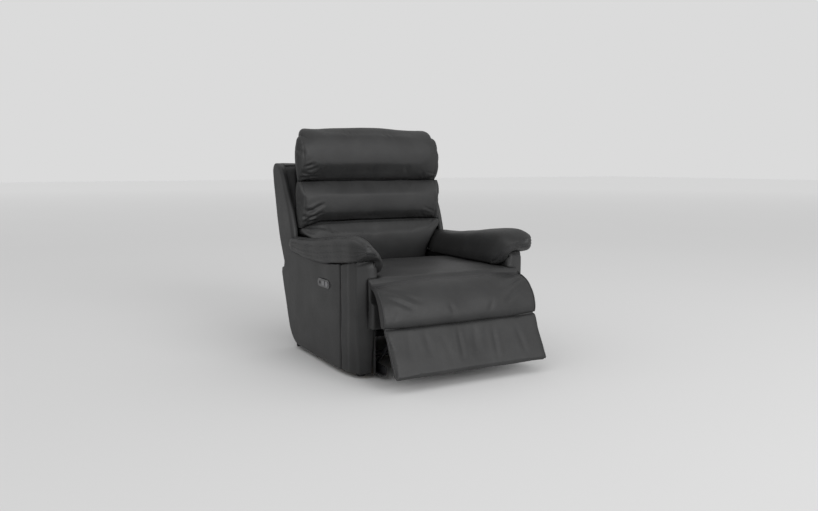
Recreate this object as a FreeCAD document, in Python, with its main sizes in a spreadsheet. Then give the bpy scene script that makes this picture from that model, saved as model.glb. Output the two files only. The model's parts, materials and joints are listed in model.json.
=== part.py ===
import FreeCAD, Part
import math
import os
import re

import Sketcher

# Power recliner armchair, with its footrest a little open.  Millimetres, +Z up, the sitter faces -Y.
# Left and right are the sitter's, so "right" is at -X.  The floor is Z = 0, under the box's centre.

Vector = FreeCAD.Vector

SIZES = {
    # whole chair
    "head_top": 1072, "gap": 2, "floor_clearance": 20, "bond": 0.2,
    # arms
    "arm_inner": 342, "arm_front": -380, "arm_top": 455, "arm_rear_foot": 345,
    "arm_foot_run": 86, "arm_foot_lift": 27, "arm_rear_low": 399, "arm_rear_low_height": 123,
    "arm_rear_top": 488, "arm_rear_top_height": 353, "arm_shoulder": 452,
    "arm_shoulder_height": 388, "arm_shoulder_drop": 8, "bow_start": -130, "bow_depth": 2.5,
    "seam_line": -225, "corner_start": -290, "corner_inset": 8, "corner_flat": 350,
    "panel_thickness": 16, "board_thickness": 10, "top_board_thickness": 14, "top_board_share": 0.677,
    "front_panel_thickness": 30, "inner_panel_foot": 290, "inner_panel_rear": 406,
    "post_depth": 28,
    # arm pads
    "pad_outer": 450, "pad_overhang": 17, "pad_inner": 330, "pad_front": -440, "pad_rear": 440,
    "pad_rear_height": 542, "pad_rear_share": 0.276, "pad_waist": 176, "pad_waist_rise": 8,
    "pad_crest_rise": 56,
    "pad_crest_place": -330, "pad_middle_rise": 24, "pad_shoulder": -198, "pad_shoulder_drop": 9,
    "pad_tip_run": 38, "pad_tip_top_share": 0.07, "pad_tip_share": 0.35, "pad_tip_under": 22,
    "pad_under_share": 0.378, "pad_neck": 62, "pad_neck_share": 0.308, "pad_throat": -231,
    "pad_throat_share": 0.112, "pad_round": 24, "drape_inner": 298, "drape_clearance": 14,
    "drape_front": -408, "drape_rear": 262,
    # seat
    "seat_rear": 280, "seat_front": -382, "seat_top": 424, "seat_bottom": 294.2, "seat_half": 327,
    "seat_round": 22, "frame_half": 342, "rail_height": 40, "rail_thickness": 22,
    "frame_bottom": 250, "spring_count": 5, "spring_wire": 4, "spring_pitch": 110,
    "spring_swing": 24, "spring_turns": 12, "spring_inset": 8,
    # roll and border along the seat's front
    "wing_half": 370, "roll_radius": 36, "border_front": -428, "border_bottom": 221,
    "border_round": 8, "slot_inner": 286, "slot_outer": 326,
    # hinge lines, the chaise pad and the footrest upright as when the chair is shut
    "hinge_forward": -428, "hinge_height": 362, "knee_forward": -441, "knee_height": 226,
    "chaise_rest_angle": 20, "footrest_rest_angle": 24, "board_face": -452, "board_back": -440,
    "board_half": 350, "chaise_board_top": 322, "knee_gap": 11, "footrest_bottom": 20,
    "footrest_depth": 42.4, "footrest_board_inset": 14, "chaise_lip": 484, "chaise_lip_rise": 12,
    "chaise_lip_inset": 20, "chaise_belly": 495, "chaise_belly_height": 289,
    "chaise_cover": 15, "chaise_start_angle": 74, "pad_edge_round": 20, "chaise_edge_round": 12,
    # mechanism
    "plate_thickness": 4, "eye_radius": 9, "ear_radius": 13, "pin_radius": 4, "running_gap": 0.1,
    "loose_gap": 0.5, "stud_end": 0.4, "stud_head": 1.2, "fixed_plate": 312, "layer_pitch": 6,
    "ear_front": -422, "lobe_half": 22, "plate_front": -302, "plate_rear": -127,
    "flange_width": 24, "flange_thickness": 3, "chaise_flange": 50, "footrest_flange": 100,
    "tube_forward": -247.1, "tube_height": 199.8, "tube_radius": 11, "tube_wall": 2,
    "hub_wall": 5, "crank_forward": -299.2, "crank_height": 48.2, "link_top_forward": -427.9,
    "link_top_height": 202.9, "rocker_forward": -254.7, "rocker_height": 163,
    "upper_link_forward": -436, "upper_link_height": 324,
    # actuator
    "lever_length": 60, "lever_mid_angle": 17.6, "lever_thickness": 4, "lever_inner": 25,
    "lever_half": 14, "lever_slot": 15, "slot_start": 51, "slot_end": 84, "carriage_length": 50,
    "carriage_half": 22, "carriage_pin_radius": 5, "carriage_lag": 1.6, "carriage_lift": 6,
    "rail_width": 30, "rail_bottom": 95, "rail_depth": 20, "actuator_rail_front": -335,
    "gearbox_front": 20, "gearbox_length": 60, "gearbox_half": 38, "gearbox_drop": 12,
    "gearbox_top": 153, "motor_radius": 30, "motor_height": 118, "motor_length": 120,
    "bracket_half": 20, "bracket_thickness": 4, "bracket_rise": 40,
    # cross tubes and feet
    "cross_tube_radius": 12, "cross_tube_height": 60, "front_cross": -195, "rear_cross": 262,
    "base_rail_height": 40, "base_rail_thickness": 24, "base_rail_front": -338,
    "base_rail_rear": 287, "runner_front": -412, "runner_inset": 306, "runner_rear": 274,
    "runner_height": 56, "runner_sole": 22, "foot_radius": 20, "foot_inset": 24,
    "foot_bevel": 5, "foot_front": -290, "foot_rear": 240,
    # back
    "back_pivot_rear": 410, "back_pivot_height": 390, "back_plane": 405, "back_plane_height": 400,
    "back_tilt": 13.5, "back_bottom": 335, "stile_bottom": 332, "stile_top": 880,
    "back_frame_thickness": 25, "stile_half": 325, "stile_width": 45, "back_rail_height": 60,
    "bracket_drop": 30, "bracket_reach": 120, "bracket_inset": 3, "bracket_eye": 14,
    "webbing_count": 6, "webbing_width": 50, "webbing_thickness": 2, "webbing_lap": 6,
    "cushion_clearance": 1.5, "cushion_half": 392, "waist_half": 320, "waist_height": 556,
    "seam_low": 608, "seam_high": 808, "seam_low_place": 336, "seam_high_place": 354,
    "cushion_bulge": 34, "head_half": 398, "head_front": 314, "lumbar_front": 311,
    "lower_front": 297, "head_crest": 415, "head_rear": 512, "head_round": 40,
    "cushion_side_round": 20, "seam_gap": 3,
    "wing_inset": 20, "wing_thickness": 30, "wing_top": 896, "wing_top_rear": 598,
    "wing_top_rear_height": 861, "wing_low_rear": 520, "wing_low_rear_height": 549,
    "wing_front": 336, "wing_front_rise": 9, "wing_front_top": 474, "wing_front_top_height": 833,
    "wing_over_pad": 12, "wing_over_shoulder": 22, "wing_bow": 8, "wing_front_bow": 15,
    "rear_panel_thickness": 22, "rear_panel_gap": 24, "rear_panel_crown": 613,
    "rear_panel_lip": 24, "rear_swing_gap": 6,
    # base rear panel
    "rear_panel_foot": 331, "rear_panel_tilt": 18.6, "rear_panel_bottom": 30,
    "rear_panel_middle_top": 318, "rear_panel_side_top": 376, "rear_base_thickness": 14,
    "rear_panel_inset": 19,
    # hand control on the right arm
    "bezel_length": 130, "bezel_height": 36, "bezel_middle": -60, "bezel_centre_height": 370,
    "bezel_lip": 4, "bezel_proud": 3, "bezel_depth": 22, "button_length": 30, "button_height": 22,
    "button_place": 38, "button_proud": 2, "button_depth": 19, "button_clearance": 0.6,
    "socket_radius": 10, "port_width": 12, "port_height": 5.6, "port_floor": 8,
    # power supply and inlet
    "supply_length": 160, "supply_width": 62, "supply_height": 36, "supply_front": 60,
    "supply_bottom": 120, "inlet_height": 90, "inlet_width": 28, "inlet_size_up": 20,
    "inlet_place": 240, "inlet_proud": 2, "inlet_depth": 22,
}

# Side view of the pad's drape over the seat, at the arm and at its inner rim: how far behind the
# drape's front each corner lies, and how high, as a share of the pad's height.  Rear corners first.
DRAPE_ROOT = ((0.61,), (101, 0), (44, 0.14), (8, 0.364), (0, 0.664), (13, 0.825))
DRAPE_RIM = ((0.315,), (108, 0), (58, 0.11), (36, 0.25), (48, 0.378), (208, 0.378))

# Places that go with another size, wherever that one moves.
DERIVED = {
    "arm_outer": "(pad_outer - pad_overhang)", "rear_panel_half": "(arm_outer - rear_panel_inset)",
    "wing_outer": "(pad_outer - wing_inset)", "pad_crest": "(pad_rear_height + pad_crest_rise)",
}

SIDES = {"right": -1, "left": 1}

doc = FreeCAD.newDocument("recliner")
sheet = doc.addObject("Spreadsheet::Sheet", "Sizes")
for row, (alias, number) in enumerate(SIZES.items(), start=1):
    cell = "A%d" % row
    sheet.set(cell, str(number))
    sheet.setAlias(cell, alias)
doc.recompute()

nodes = []
pin_gap = sheet.pin_radius + sheet.running_gap


# ---- expressions, sketches and simple solids -------------------------------------------------

def bound(expression):
    """The expression with each size's name written as the sheet's cell."""
    for name, meaning in DERIVED.items():
        expression = re.sub(r"\b%s\b" % name, lambda match: bound(meaning), expression)
    return re.sub(r"(?<!Sizes\.)\b[a-z_]{3,}\b",
                  lambda match: "Sizes." + match.group(0) if match.group(0) in SIZES else match.group(0),
                  expression)


def value(expression):
    return float(sheet.evalExpression(bound(expression)))


arm_outer, rear_panel_half, wing_outer, pad_crest = (value(name) for name in DERIVED)
pad_height = pad_crest - sheet.arm_top
pad_rear_low = sheet.arm_top + sheet.pad_rear_share * (sheet.pad_rear_height - sheet.arm_top)


def keep(label, item):
    item.Label = label
    nodes.append(item)
    return item


def box(label, x, y, z):
    """A box between (low, high) expressions along each axis."""
    item = keep(label, doc.addObject("Part::Box", label))
    for name, (low, high) in zip(("Length", "Width", "Height"), (x, y, z)):
        item.setExpression(name, bound("(%s) - (%s)" % (high, low)))
    for axis, (low, high) in zip("xyz", (x, y, z)):
        item.setExpression("Placement.Base." + axis, bound(low))
    return item


def mirrored(side, low, high):
    """A pair of x expressions on the sitter's right (-X) or left (+X)."""
    return ("-(%s)" % high, "-(%s)" % low) if SIDES[side] < 0 else (low, high)


def cross_tube(label, half, forward, height, radius):
    item = keep(label, doc.addObject("Part::Cylinder", label))
    item.setExpression("Radius", bound(radius))
    item.setExpression("Height", bound("2 * (%s)" % half))
    start = Vector(-value(half), value(forward), value(height))
    item.Placement = FreeCAD.Placement(start, FreeCAD.Rotation(Vector(0, 1, 0), 90))
    return item


def draw_outline(sketch, corners):
    """Close a run of straight lines whose corners are held by the sheet's sizes."""
    first = sketch.GeometryCount
    places = [(value(a), value(b)) for a, b in corners]
    count = len(places)
    for index in range(count):
        a, b = places[index], places[(index + 1) % count]
        sketch.addGeometry(Part.LineSegment(Vector(a[0], a[1], 0), Vector(b[0], b[1], 0)))
    for index in range(count):
        sketch.addConstraint(Sketcher.Constraint("Coincident", first + index, 2,
                                                 first + (index + 1) % count, 1))
    for index, (corner, place) in enumerate(zip(corners, places)):
        for kind, expression, number in zip(("DistanceX", "DistanceY"), corner, place):
            made = sketch.addConstraint(Sketcher.Constraint(kind, -1, 1, first + index, 1, number))
            sketch.setExpression("Constraints[%d]" % made, bound(expression))


def outline_body(label, plane, corners, depth, start=None, rounding=None, hole=None):
    """A PartDesign body: a closed outline of straight edges, padded, with its long edges rounded."""
    body = doc.addObject("PartDesign::Body", label)
    sketch = body.newObject("Sketcher::SketchObject", label + "_outline")
    origin = next(f for f in body.Origin.OriginFeatures if f.Role == plane)
    sketch.AttachmentSupport = [(origin, "")]
    sketch.MapMode = "FlatFace"
    draw_outline(sketch, corners)
    if hole:
        draw_outline(sketch, hole)
    pad = body.newObject("PartDesign::Pad", label + "_pad")
    pad.Profile = sketch
    pad.setExpression("Length", bound(depth))
    pad.Midplane = start is None
    doc.recompute()
    if rounding:
        fillet = body.newObject("PartDesign::Fillet", label + "_round")
        fillet.Base = (pad, ["Edge%d" % (n + 1) for n in range(len(pad.Shape.Edges))])
        fillet.setExpression("Radius", bound(rounding))
        body.Tip = fillet
    if start is not None:
        axis = {"YZ_Plane": "x", "XY_Plane": "z", "XZ_Plane": "y"}[plane]
        body.setExpression("Placement.Base." + axis, bound(start))
    return keep(label, body)


def feature(label, shape):
    item = doc.addObject("Part::Feature", label)
    item.Shape = shape
    return keep(label, item)


# ---- geometry in the side view (y, z) --------------------------------------------------------

def swung(point, pivot, degrees):
    """A side-view point turned about a pivot, opening forwards and up."""
    angle = math.radians(degrees)
    y, z = point[0] - pivot[0], point[1] - pivot[1]
    return (pivot[0] + y * math.cos(angle) + z * math.sin(angle),
            pivot[1] - y * math.sin(angle) + z * math.cos(angle))


def turned(pivot, degrees):
    """The placement that opens a piece about a hinge line along X."""
    return FreeCAD.Placement(Vector(0, 0, 0), FreeCAD.Rotation(Vector(1, 0, 0), -degrees),
                             Vector(0, pivot[0], pivot[1]))


hinge = (sheet.hinge_forward, sheet.hinge_height)
shut_knee = (sheet.knee_forward, sheet.knee_height)
knee = swung(shut_knee, hinge, sheet.chaise_rest_angle)
tube = (sheet.tube_forward, sheet.tube_height)
crank_pin = (sheet.crank_forward, sheet.crank_height)
rocker_pin = (sheet.rocker_forward, sheet.rocker_height)
upper_pin = (sheet.upper_link_forward, sheet.upper_link_height)
shut_link_pin = (sheet.link_top_forward, sheet.link_top_height)
back_pivot = (sheet.back_pivot_rear, sheet.back_pivot_height)


def opened_chaise():
    return turned(hinge, sheet.chaise_rest_angle)


def opened_footrest():
    """Shut to rest: turn about the shut knee, then carry the knee to its rest place."""
    turn = turned(shut_knee, sheet.footrest_rest_angle)
    return FreeCAD.Placement(Vector(0, knee[0] - shut_knee[0], knee[1] - shut_knee[1]),
                             FreeCAD.Rotation()).multiply(turn)


link_pin = (lambda place: (place.y, place.z))(opened_footrest().multVec(Vector(0, *shut_link_pin)))


def side_face(x, points, smooth=()):
    """A closed face in the side view.  Runs of points named in smooth are splines."""
    edges, index, count = [], 0, len(points)
    spans = dict(smooth)
    while index < count:
        last = spans.get(index, index + 1)
        run = [Vector(x, *points[n % count]) for n in range(index, last + 1)]
        if len(run) > 2:
            curve = Part.BSplineCurve()
            curve.interpolate(run)
            edges.append(curve.toShape())
        else:
            edges.append(Part.LineSegment(run[0], run[1]).toShape())
        index = last
    return Part.Face(Part.Wire(edges))


def side_solid(low, high, points, smooth=()):
    return side_face(low, points, smooth).extrude(Vector(high - low, 0, 0))


def wire_at(x, points, smooth):
    return side_face(x, points, smooth).OuterWire


def inset_points(points, amount):
    """The outline's points moved inwards, square to the run between their neighbours."""
    moved = []
    for before, here, after in zip(points[-1:] + points[:-1], points, points[1:] + points[:1]):
        run = Vector(after[0] - before[0], after[1] - before[1], 0).normalize()
        moved.append((here[0] - run.y * amount, here[1] + run.x * amount))
    return moved


def pillow(low, high, points, smooth, radius):
    """A side-view outline drawn anticlockwise and made solid in x, its two rims rounded in steps."""
    steps = [(0, 1), (0.3, 0.29), (1, 0)]
    levels = [(low + radius * across, radius * inset) for across, inset in steps]
    levels += [(high - radius * across, radius * inset) for across, inset in reversed(steps)]
    return Part.makeLoft([wire_at(x, inset_points(points, inset), smooth) for x, inset in levels],
                         True, True)


def disc(x, thickness, place, radius):
    return Part.makeCylinder(radius, thickness, Vector(x, *place), Vector(1, 0, 0))


def lever(x, thickness, corners, eyes, bores):
    """A flat lever in the side view: straight arms, a round eye at each pivot, and its bores."""
    shape = side_solid(x, x + thickness, corners)
    for place, radius in eyes:
        shape = shape.fuse(disc(x, thickness, place, radius))
    for place, radius in bores:
        shape = shape.cut(disc(x - 1, thickness + 2, place, radius))
    return shape.removeSplitter()


def arm_corners(a, b, half):
    """The four corners of a straight bar between two pivots."""
    y, z = b[0] - a[0], b[1] - a[1]
    reach = math.hypot(y, z)
    sy, sz = -z / reach * half, y / reach * half
    return [(a[0] + sy, a[1] + sz), (b[0] + sy, b[1] + sz), (b[0] - sy, b[1] - sz), (a[0] - sy, a[1] - sz)]


def layer(number):
    """Inner face of a steel layer: 0 is the fixed plate, each further one lies inboard."""
    return sheet.fixed_plate - number * sheet.layer_pitch


def on_side(side, low, thickness):
    """Start in x of a plate that lies between low and low + thickness from the middle plane."""
    return low if SIDES[side] > 0 else -low - thickness


def rounded(shape, radius, chosen):
    edges = [edge for edge in shape.Edges if chosen(edge)]
    return shape.makeFillet(radius, edges) if edges else shape


def at_end(edge, *places):
    """True for an edge that lies wholly at one of the x places."""
    box_of = edge.BoundBox
    return any(abs(box_of.XMin - x) < 0.01 and abs(box_of.XMax - x) < 0.01 for x in places)


# ---- arms ------------------------------------------------------------------------------------

def arm_side_outline():
    """Side view of the arm: a well rounded rear foot, a leaning rear edge and a low shoulder."""
    bottom, top = sheet.floor_clearance, pad_rear_low
    shoulder = sheet.arm_shoulder_height
    return [(beyond_front(), bottom), (sheet.arm_rear_foot - sheet.arm_foot_run, bottom),
            (sheet.arm_rear_foot, bottom + sheet.arm_foot_lift),
            (sheet.arm_rear_low, sheet.arm_rear_low_height),
            (sheet.arm_rear_top, sheet.arm_rear_top_height),
            (sheet.arm_rear_top - sheet.arm_shoulder_drop, shoulder - sheet.arm_shoulder_drop),
            (sheet.arm_shoulder, shoulder), (sheet.pad_rear, top), (beyond_front(), pad_crest)]


def beyond_front():
    """A place ahead of everything in the arm, for cuts that clear it."""
    return 2 * sheet.pad_front


def arm_plan(inset):
    """Plan edge of the arm, from the rear forwards: straight, a slight bow, then a round corner."""
    side = arm_outer - inset
    corner = Vector(side - sheet.corner_inset, sheet.corner_start, 0)
    front = Vector(sheet.corner_flat - inset / 3, sheet.arm_front + inset, 0)
    bow_start = Vector(side, sheet.bow_start, 0)
    bow_mid = Vector(side - sheet.bow_depth, (sheet.bow_start + sheet.corner_start) / 2, 0)
    swell = corner + Vector((front.x - corner.x) * 0.29, (front.y - corner.y) * 0.75, 0)
    straight = Part.LineSegment(Vector(side, sheet.arm_rear_top + inset, 0), bow_start).toShape()
    return [straight, Part.Arc(bow_start, bow_mid, corner).toShape(),
            Part.Arc(corner, swell, front).toShape()]


def arm_wall(inset_outer, inset_inner):
    """The curved wall between two offsets of the plan edge, as tall as the arm."""
    outer, inner = arm_plan(inset_outer), arm_plan(inset_inner)
    first = Part.LineSegment(outer[0].Vertexes[0].Point, inner[0].Vertexes[0].Point).toShape()
    last = Part.LineSegment(outer[-1].Vertexes[-1].Point, inner[-1].Vertexes[-1].Point).toShape()
    face = Part.Face(Part.Wire(Part.__sortEdges__(outer + inner + [first, last])))
    face.translate(Vector(0, 0, sheet.floor_clearance))
    return face.extrude(Vector(0, 0, pad_crest - sheet.floor_clearance)).cut(above_underside())


def above_underside():
    """Everything over the line that the arm's panels reach up to, a little under the pad."""
    pad = arm_pad_outline()
    run = [(y, z - sheet.gap) for y, z in pad[8:] + pad[:1]]
    ends = [(beyond_front(), run[0][1])], [(sheet.arm_rear_top, run[-1][1]),
                                           (sheet.arm_rear_top, sheet.head_top),
                                           (beyond_front(), sheet.head_top)]
    return side_solid(0, sheet.pad_outer, ends[0] + run + ends[1], [(1, len(run))])


def placed_on(side, shape):
    return shape if SIDES[side] > 0 else shape.mirror(Vector(0, 0, 0), Vector(1, 0, 0))


def arm_outer_panel(side):
    """Bowed side panel behind the upright seam, with the arm's rear outline."""
    wide = sheet.pad_outer
    outline = side_solid(0, wide, arm_side_outline(), [(1, 3)])
    behind = Part.makeBox(wide, 2 * wide, 2 * wide, Vector(0, sheet.seam_line + sheet.gap / 2, 0))
    shape = arm_wall(0, sheet.panel_thickness).common(outline).common(behind)
    if side == "right":
        shape = shape.cut(control_opening())
    return feature("arm_outer_panel_" + side, placed_on(side, shape))


def arm_front_panel(side):
    """Padded front panel, from the upright seam round the corner to the arm's inner side."""
    ahead = Part.makeBox(sheet.pad_outer, sheet.pad_outer, pad_crest,
                         Vector(0, sheet.seam_line - sheet.gap / 2 - sheet.pad_outer, 0))
    shape = arm_wall(0, sheet.panel_thickness).common(ahead)
    block = Part.makeBox(sheet.corner_flat - sheet.arm_inner, sheet.front_panel_thickness,
                         pad_crest - sheet.floor_clearance,
                         Vector(sheet.arm_inner, sheet.arm_front, sheet.floor_clearance))
    shape = shape.fuse(block.cut(above_underside())).removeSplitter()
    return feature("arm_front_panel_" + side, placed_on(side, shape))


def arm_inner_panel(side):
    """Board along the seat: it leans at the rear and reaches up to the pad."""
    bottom, high = sheet.floor_clearance, pad_crest
    front, rear = sheet.arm_front + sheet.front_panel_thickness, sheet.inner_panel_rear
    outline = [(front, bottom), (sheet.inner_panel_foot, bottom),
               (rear, sheet.arm_top - sheet.top_board_thickness), (rear, high), (front, high)]
    board = side_solid(sheet.arm_inner, sheet.arm_inner + sheet.board_thickness, outline)
    return feature("arm_inner_panel_" + side, placed_on(side, board.cut(above_underside())))


def side_pair(label, low, high, y, z):
    """A pair of equal boxes, one in each arm."""
    low, high = value(low), value(high)
    shapes = [Part.makeBox(high - low, value(y[1]) - value(y[0]), value(z[1]) - value(z[0]),
                           Vector(on_side(side, low, high - low), value(y[0]), value(z[0])))
              for side in SIDES]
    return feature(label, Part.makeCompound(shapes))


def arm_top_boards():
    start = "arm_inner + board_thickness"
    room = "(arm_outer - panel_thickness - arm_inner - board_thickness)"
    side_pair("arm_top_boards", start, start + " + top_board_share * " + room,
              ("corner_start + 3 * gap", "inner_panel_rear - gap"),
              ("arm_top - top_board_thickness", "arm_top"))


def arm_rear_post(side):
    """Post that leans with the rear panel and carries the back's hinge pin."""
    foot, head = "rear_panel_foot - 4 * gap", "pad_rear - 2 * gap"
    top = "arm_top - top_board_thickness - gap"
    corners = [(foot + " - post_depth", "rear_panel_bottom"), (foot, "rear_panel_bottom"),
               (head, top), (head + " - post_depth", top)]
    x = mirrored(side, "arm_inner + board_thickness + gap / 2", "rear_panel_half")
    depth = "rear_panel_half - arm_inner - board_thickness - gap / 2"
    return outline_body("arm_rear_post_" + side, "YZ_Plane", corners, depth, start=x[0])


def arm_base_rails():
    inner = "arm_inner + board_thickness + gap / 2"
    side_pair("arm_base_rails", inner, inner + " + base_rail_thickness",
              ("base_rail_front", "base_rail_rear"),
              ("floor_clearance", "floor_clearance + base_rail_height"))


def floor_runners():
    """Steel runners under the mechanism that the cross tubes are welded to."""
    low = sheet.floor_clearance + sheet.gap
    length = sheet.runner_rear - sheet.runner_front
    shapes = []
    for side in SIDES:
        shape = None
        for width, height in ((sheet.plate_thickness, sheet.runner_height - low),
                              (sheet.runner_sole, sheet.plate_thickness)):
            x = on_side(side, sheet.runner_inset, width)
            wall = Part.makeBox(width, length, height, Vector(x, sheet.runner_front, low))
            shape = wall if shape is None else shape.fuse(wall)
        for y in (sheet.front_cross, sheet.rear_cross):
            shape = shape.cut(disc(-sheet.arm_inner, 2 * sheet.arm_inner, (y, sheet.cross_tube_height),
                                   sheet.cross_tube_radius))
        shapes.append(shape.removeSplitter())
    return feature("floor_runners", Part.makeCompound(shapes))


def arm_pad_outline():
    """Side view of the pad: saddle top, rolled front tip, and an underside that dips in the middle."""
    front, rear, crest, seat_on = sheet.pad_front, sheet.pad_rear, pad_crest, sheet.arm_top
    rear_top = sheet.pad_rear_height
    return [(rear, pad_rear_low), (rear, rear_top),
            (sheet.pad_waist, rear_top + sheet.pad_waist_rise), (0, rear_top + sheet.pad_middle_rise),
            (sheet.pad_shoulder, crest - sheet.pad_shoulder_drop), (sheet.pad_crest_place, crest),
            (front + sheet.pad_tip_run, crest - sheet.pad_tip_top_share * pad_height),
            (front, crest - sheet.pad_tip_share * pad_height),
            (front + sheet.pad_tip_under, seat_on + sheet.pad_under_share * pad_height),
            (front + sheet.pad_neck, seat_on + sheet.pad_neck_share * pad_height),
            (sheet.pad_throat, seat_on + sheet.pad_throat_share * pad_height),
            (0, seat_on + sheet.gap)]


def drape_outline(shape):
    """Side view of the drape at one distance from the arm, from its rear foot forwards."""
    low, rear = sheet.seat_top + sheet.drape_clearance, sheet.drape_rear
    run = [(sheet.drape_front + behind, low + share * pad_height) for behind, share in shape[1:]]
    return [(rear, low)] + run + [(rear, low + shape[0][0] * pad_height)]


def arm_pad(side):
    """Pillow pad whose inner side leans in over the seat and curls down at the front."""
    outline = arm_pad_outline()
    rim = min(sheet.pad_round, 0.35 * (sheet.pad_rear_height - pad_rear_low))
    pad = pillow(sheet.pad_inner, sheet.pad_outer, outline, [(1, 8), (8, 12)], rim)
    drape = Part.makeLoft([wire_at(sheet.drape_inner, drape_outline(DRAPE_RIM), ()),
                           wire_at(sheet.arm_inner - sheet.gap / 2, drape_outline(DRAPE_ROOT), ())],
                          True, True)
    return feature("arm_pad_" + side, placed_on(side, pad.fuse(drape).removeSplitter()))


# ---- hand control ----------------------------------------------------------------------------

def stadium(length, height, middle, x, thickness):
    """A flat bar with round ends in the arm's side face, from x outwards."""
    radius, centre = height / 2, sheet.bezel_centre_height
    reach = length / 2 - radius
    bar = Part.makeBox(thickness, 2 * reach, height, Vector(x, middle - reach, centre - radius))
    for end in (middle - reach, middle + reach):
        bar = bar.fuse(disc(x, thickness, (end, centre), radius))
    return bar.removeSplitter()


def control_opening():
    """Hole through the side panel for the control's body."""
    return stadium(sheet.bezel_length - 2 * sheet.bezel_lip, sheet.bezel_height - 2 * sheet.bezel_lip,
                   sheet.bezel_middle, arm_outer - 2 * sheet.bezel_depth, 4 * sheet.bezel_depth)


def button_places():
    """Button centres along the arm, front one first."""
    return {"button_extend": sheet.bezel_middle - sheet.button_place,
            "button_retract": sheet.bezel_middle}


def control_bezel():
    """Oval cup behind the side panel with a lip on its face, two button holes and a socket hole."""
    face = arm_outer + sheet.bezel_proud
    half_gap = sheet.bond / 2
    lip = stadium(sheet.bezel_length, sheet.bezel_height, sheet.bezel_middle,
                  arm_outer + half_gap, sheet.bezel_proud - half_gap)
    inset = 2 * (sheet.bezel_lip + sheet.button_clearance)
    cup = stadium(sheet.bezel_length - inset, sheet.bezel_height - inset, sheet.bezel_middle,
                  face - sheet.bezel_depth, sheet.bezel_depth)
    shape = lip.fuse(cup)
    start, through = face - 2 * sheet.bezel_depth, 4 * sheet.bezel_depth
    room = 2 * sheet.button_clearance
    for middle in button_places().values():
        shape = shape.cut(stadium(sheet.button_length + room, sheet.button_height + room, middle,
                                  start, through))
    hole = disc(start, through, (socket_place(), sheet.bezel_centre_height), sheet.socket_radius)
    return feature("control_bezel", placed_on("right", shape.cut(hole).removeSplitter()))


def socket_place():
    return sheet.bezel_middle + sheet.button_place


def control_buttons():
    face = arm_outer + sheet.bezel_proud + sheet.button_proud
    for label, middle in button_places().items():
        shape = stadium(sheet.button_length, sheet.button_height, middle,
                        face - sheet.button_depth, sheet.button_depth)
        feature(label, placed_on("right", shape))


def usb_socket():
    """Round charging socket with a slot-shaped port, pressed in the bezel."""
    place = (socket_place(), sheet.bezel_centre_height)
    face = arm_outer + sheet.bezel_proud
    start = face - sheet.bezel_depth
    shape = disc(start, sheet.bezel_depth, place, sheet.socket_radius)
    port = Part.makeBox(sheet.bezel_depth, sheet.port_width, sheet.port_height,
                        Vector(start + sheet.port_floor, place[0] - sheet.port_width / 2,
                               place[1] - sheet.port_height / 2))
    feature("usb_socket", placed_on("right", shape.cut(port)))


# ---- base and seat ---------------------------------------------------------------------------

def floor_glides():
    """Round feet under the arms' base rails, bevelled where they meet the floor."""
    shapes = []
    middle = sheet.arm_inner + sheet.foot_inset
    radius, bevel = sheet.foot_radius, sheet.foot_bevel
    for x in (-middle, middle):
        for y in (sheet.foot_front, sheet.foot_rear):
            low = Part.makeCone(radius - bevel, radius, bevel, Vector(x, y, 0))
            top = Part.makeCylinder(radius, sheet.floor_clearance - bevel, Vector(x, y, bevel))
            shapes.append(low.fuse(top).removeSplitter())
    return feature("floor_glides", Part.makeCompound(shapes))


def rear_base_panel():
    """Leaning board behind the seat, cut low in the middle so that the back can swing."""
    slant = " / cos(rear_panel_tilt)"
    up = lambda height: "((%s) - rear_panel_bottom)%s" % (height, slant)
    corners = [("-rear_panel_half", "0"), ("rear_panel_half", "0"),
               ("rear_panel_half", up("rear_panel_side_top")),
               ("arm_inner + board_thickness + 1", up("rear_panel_side_top")),
               ("arm_inner + board_thickness + 1", up("rear_panel_middle_top")),
               ("-arm_inner - board_thickness - 1", up("rear_panel_middle_top")),
               ("-arm_inner - board_thickness - 1", up("rear_panel_side_top")),
               ("-rear_panel_half", up("rear_panel_side_top"))]
    low = "(inlet_height - rear_panel_bottom)" + slant
    start, end = "-inlet_place", "-inlet_place + inlet_width"
    high = low + " + inlet_size_up"
    hole = [(start, low), (end, low), (end, high), (start, high)]
    panel = outline_body("rear_base_panel", "XZ_Plane", corners, "rear_base_thickness", start="0",
                         hole=hole)
    panel.setExpression("Placement.Base.y", None)
    panel.Placement = FreeCAD.Placement(
        rear_panel_origin(), FreeCAD.Rotation(Vector(1, 0, 0), -sheet.rear_panel_tilt))
    return panel


def rear_panel_origin():
    """Lower edge of the rear panel's outer face, on the middle plane."""
    lean = math.cos(math.radians(sheet.rear_panel_tilt))
    return Vector(0, sheet.rear_panel_foot + sheet.rear_base_thickness / lean, sheet.rear_panel_bottom)


def seat_frame():
    for side in SIDES:
        x = mirrored(side, "fixed_plate + plate_thickness", "frame_half")
        box("seat_side_rail_" + side, x, ("seat_front", "seat_rear"),
            ("frame_bottom", "frame_bottom + rail_height"))
    box("seat_front_rail", ("-slot_inner", "slot_inner"), ("seat_front", "seat_front + rail_thickness"),
        ("frame_bottom", "frame_bottom + rail_height"))
    box("seat_rear_rail", ("-fixed_plate", "fixed_plate"), ("seat_rear - rail_thickness", "seat_rear"),
        ("frame_bottom", "frame_bottom + rail_height"))


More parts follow.
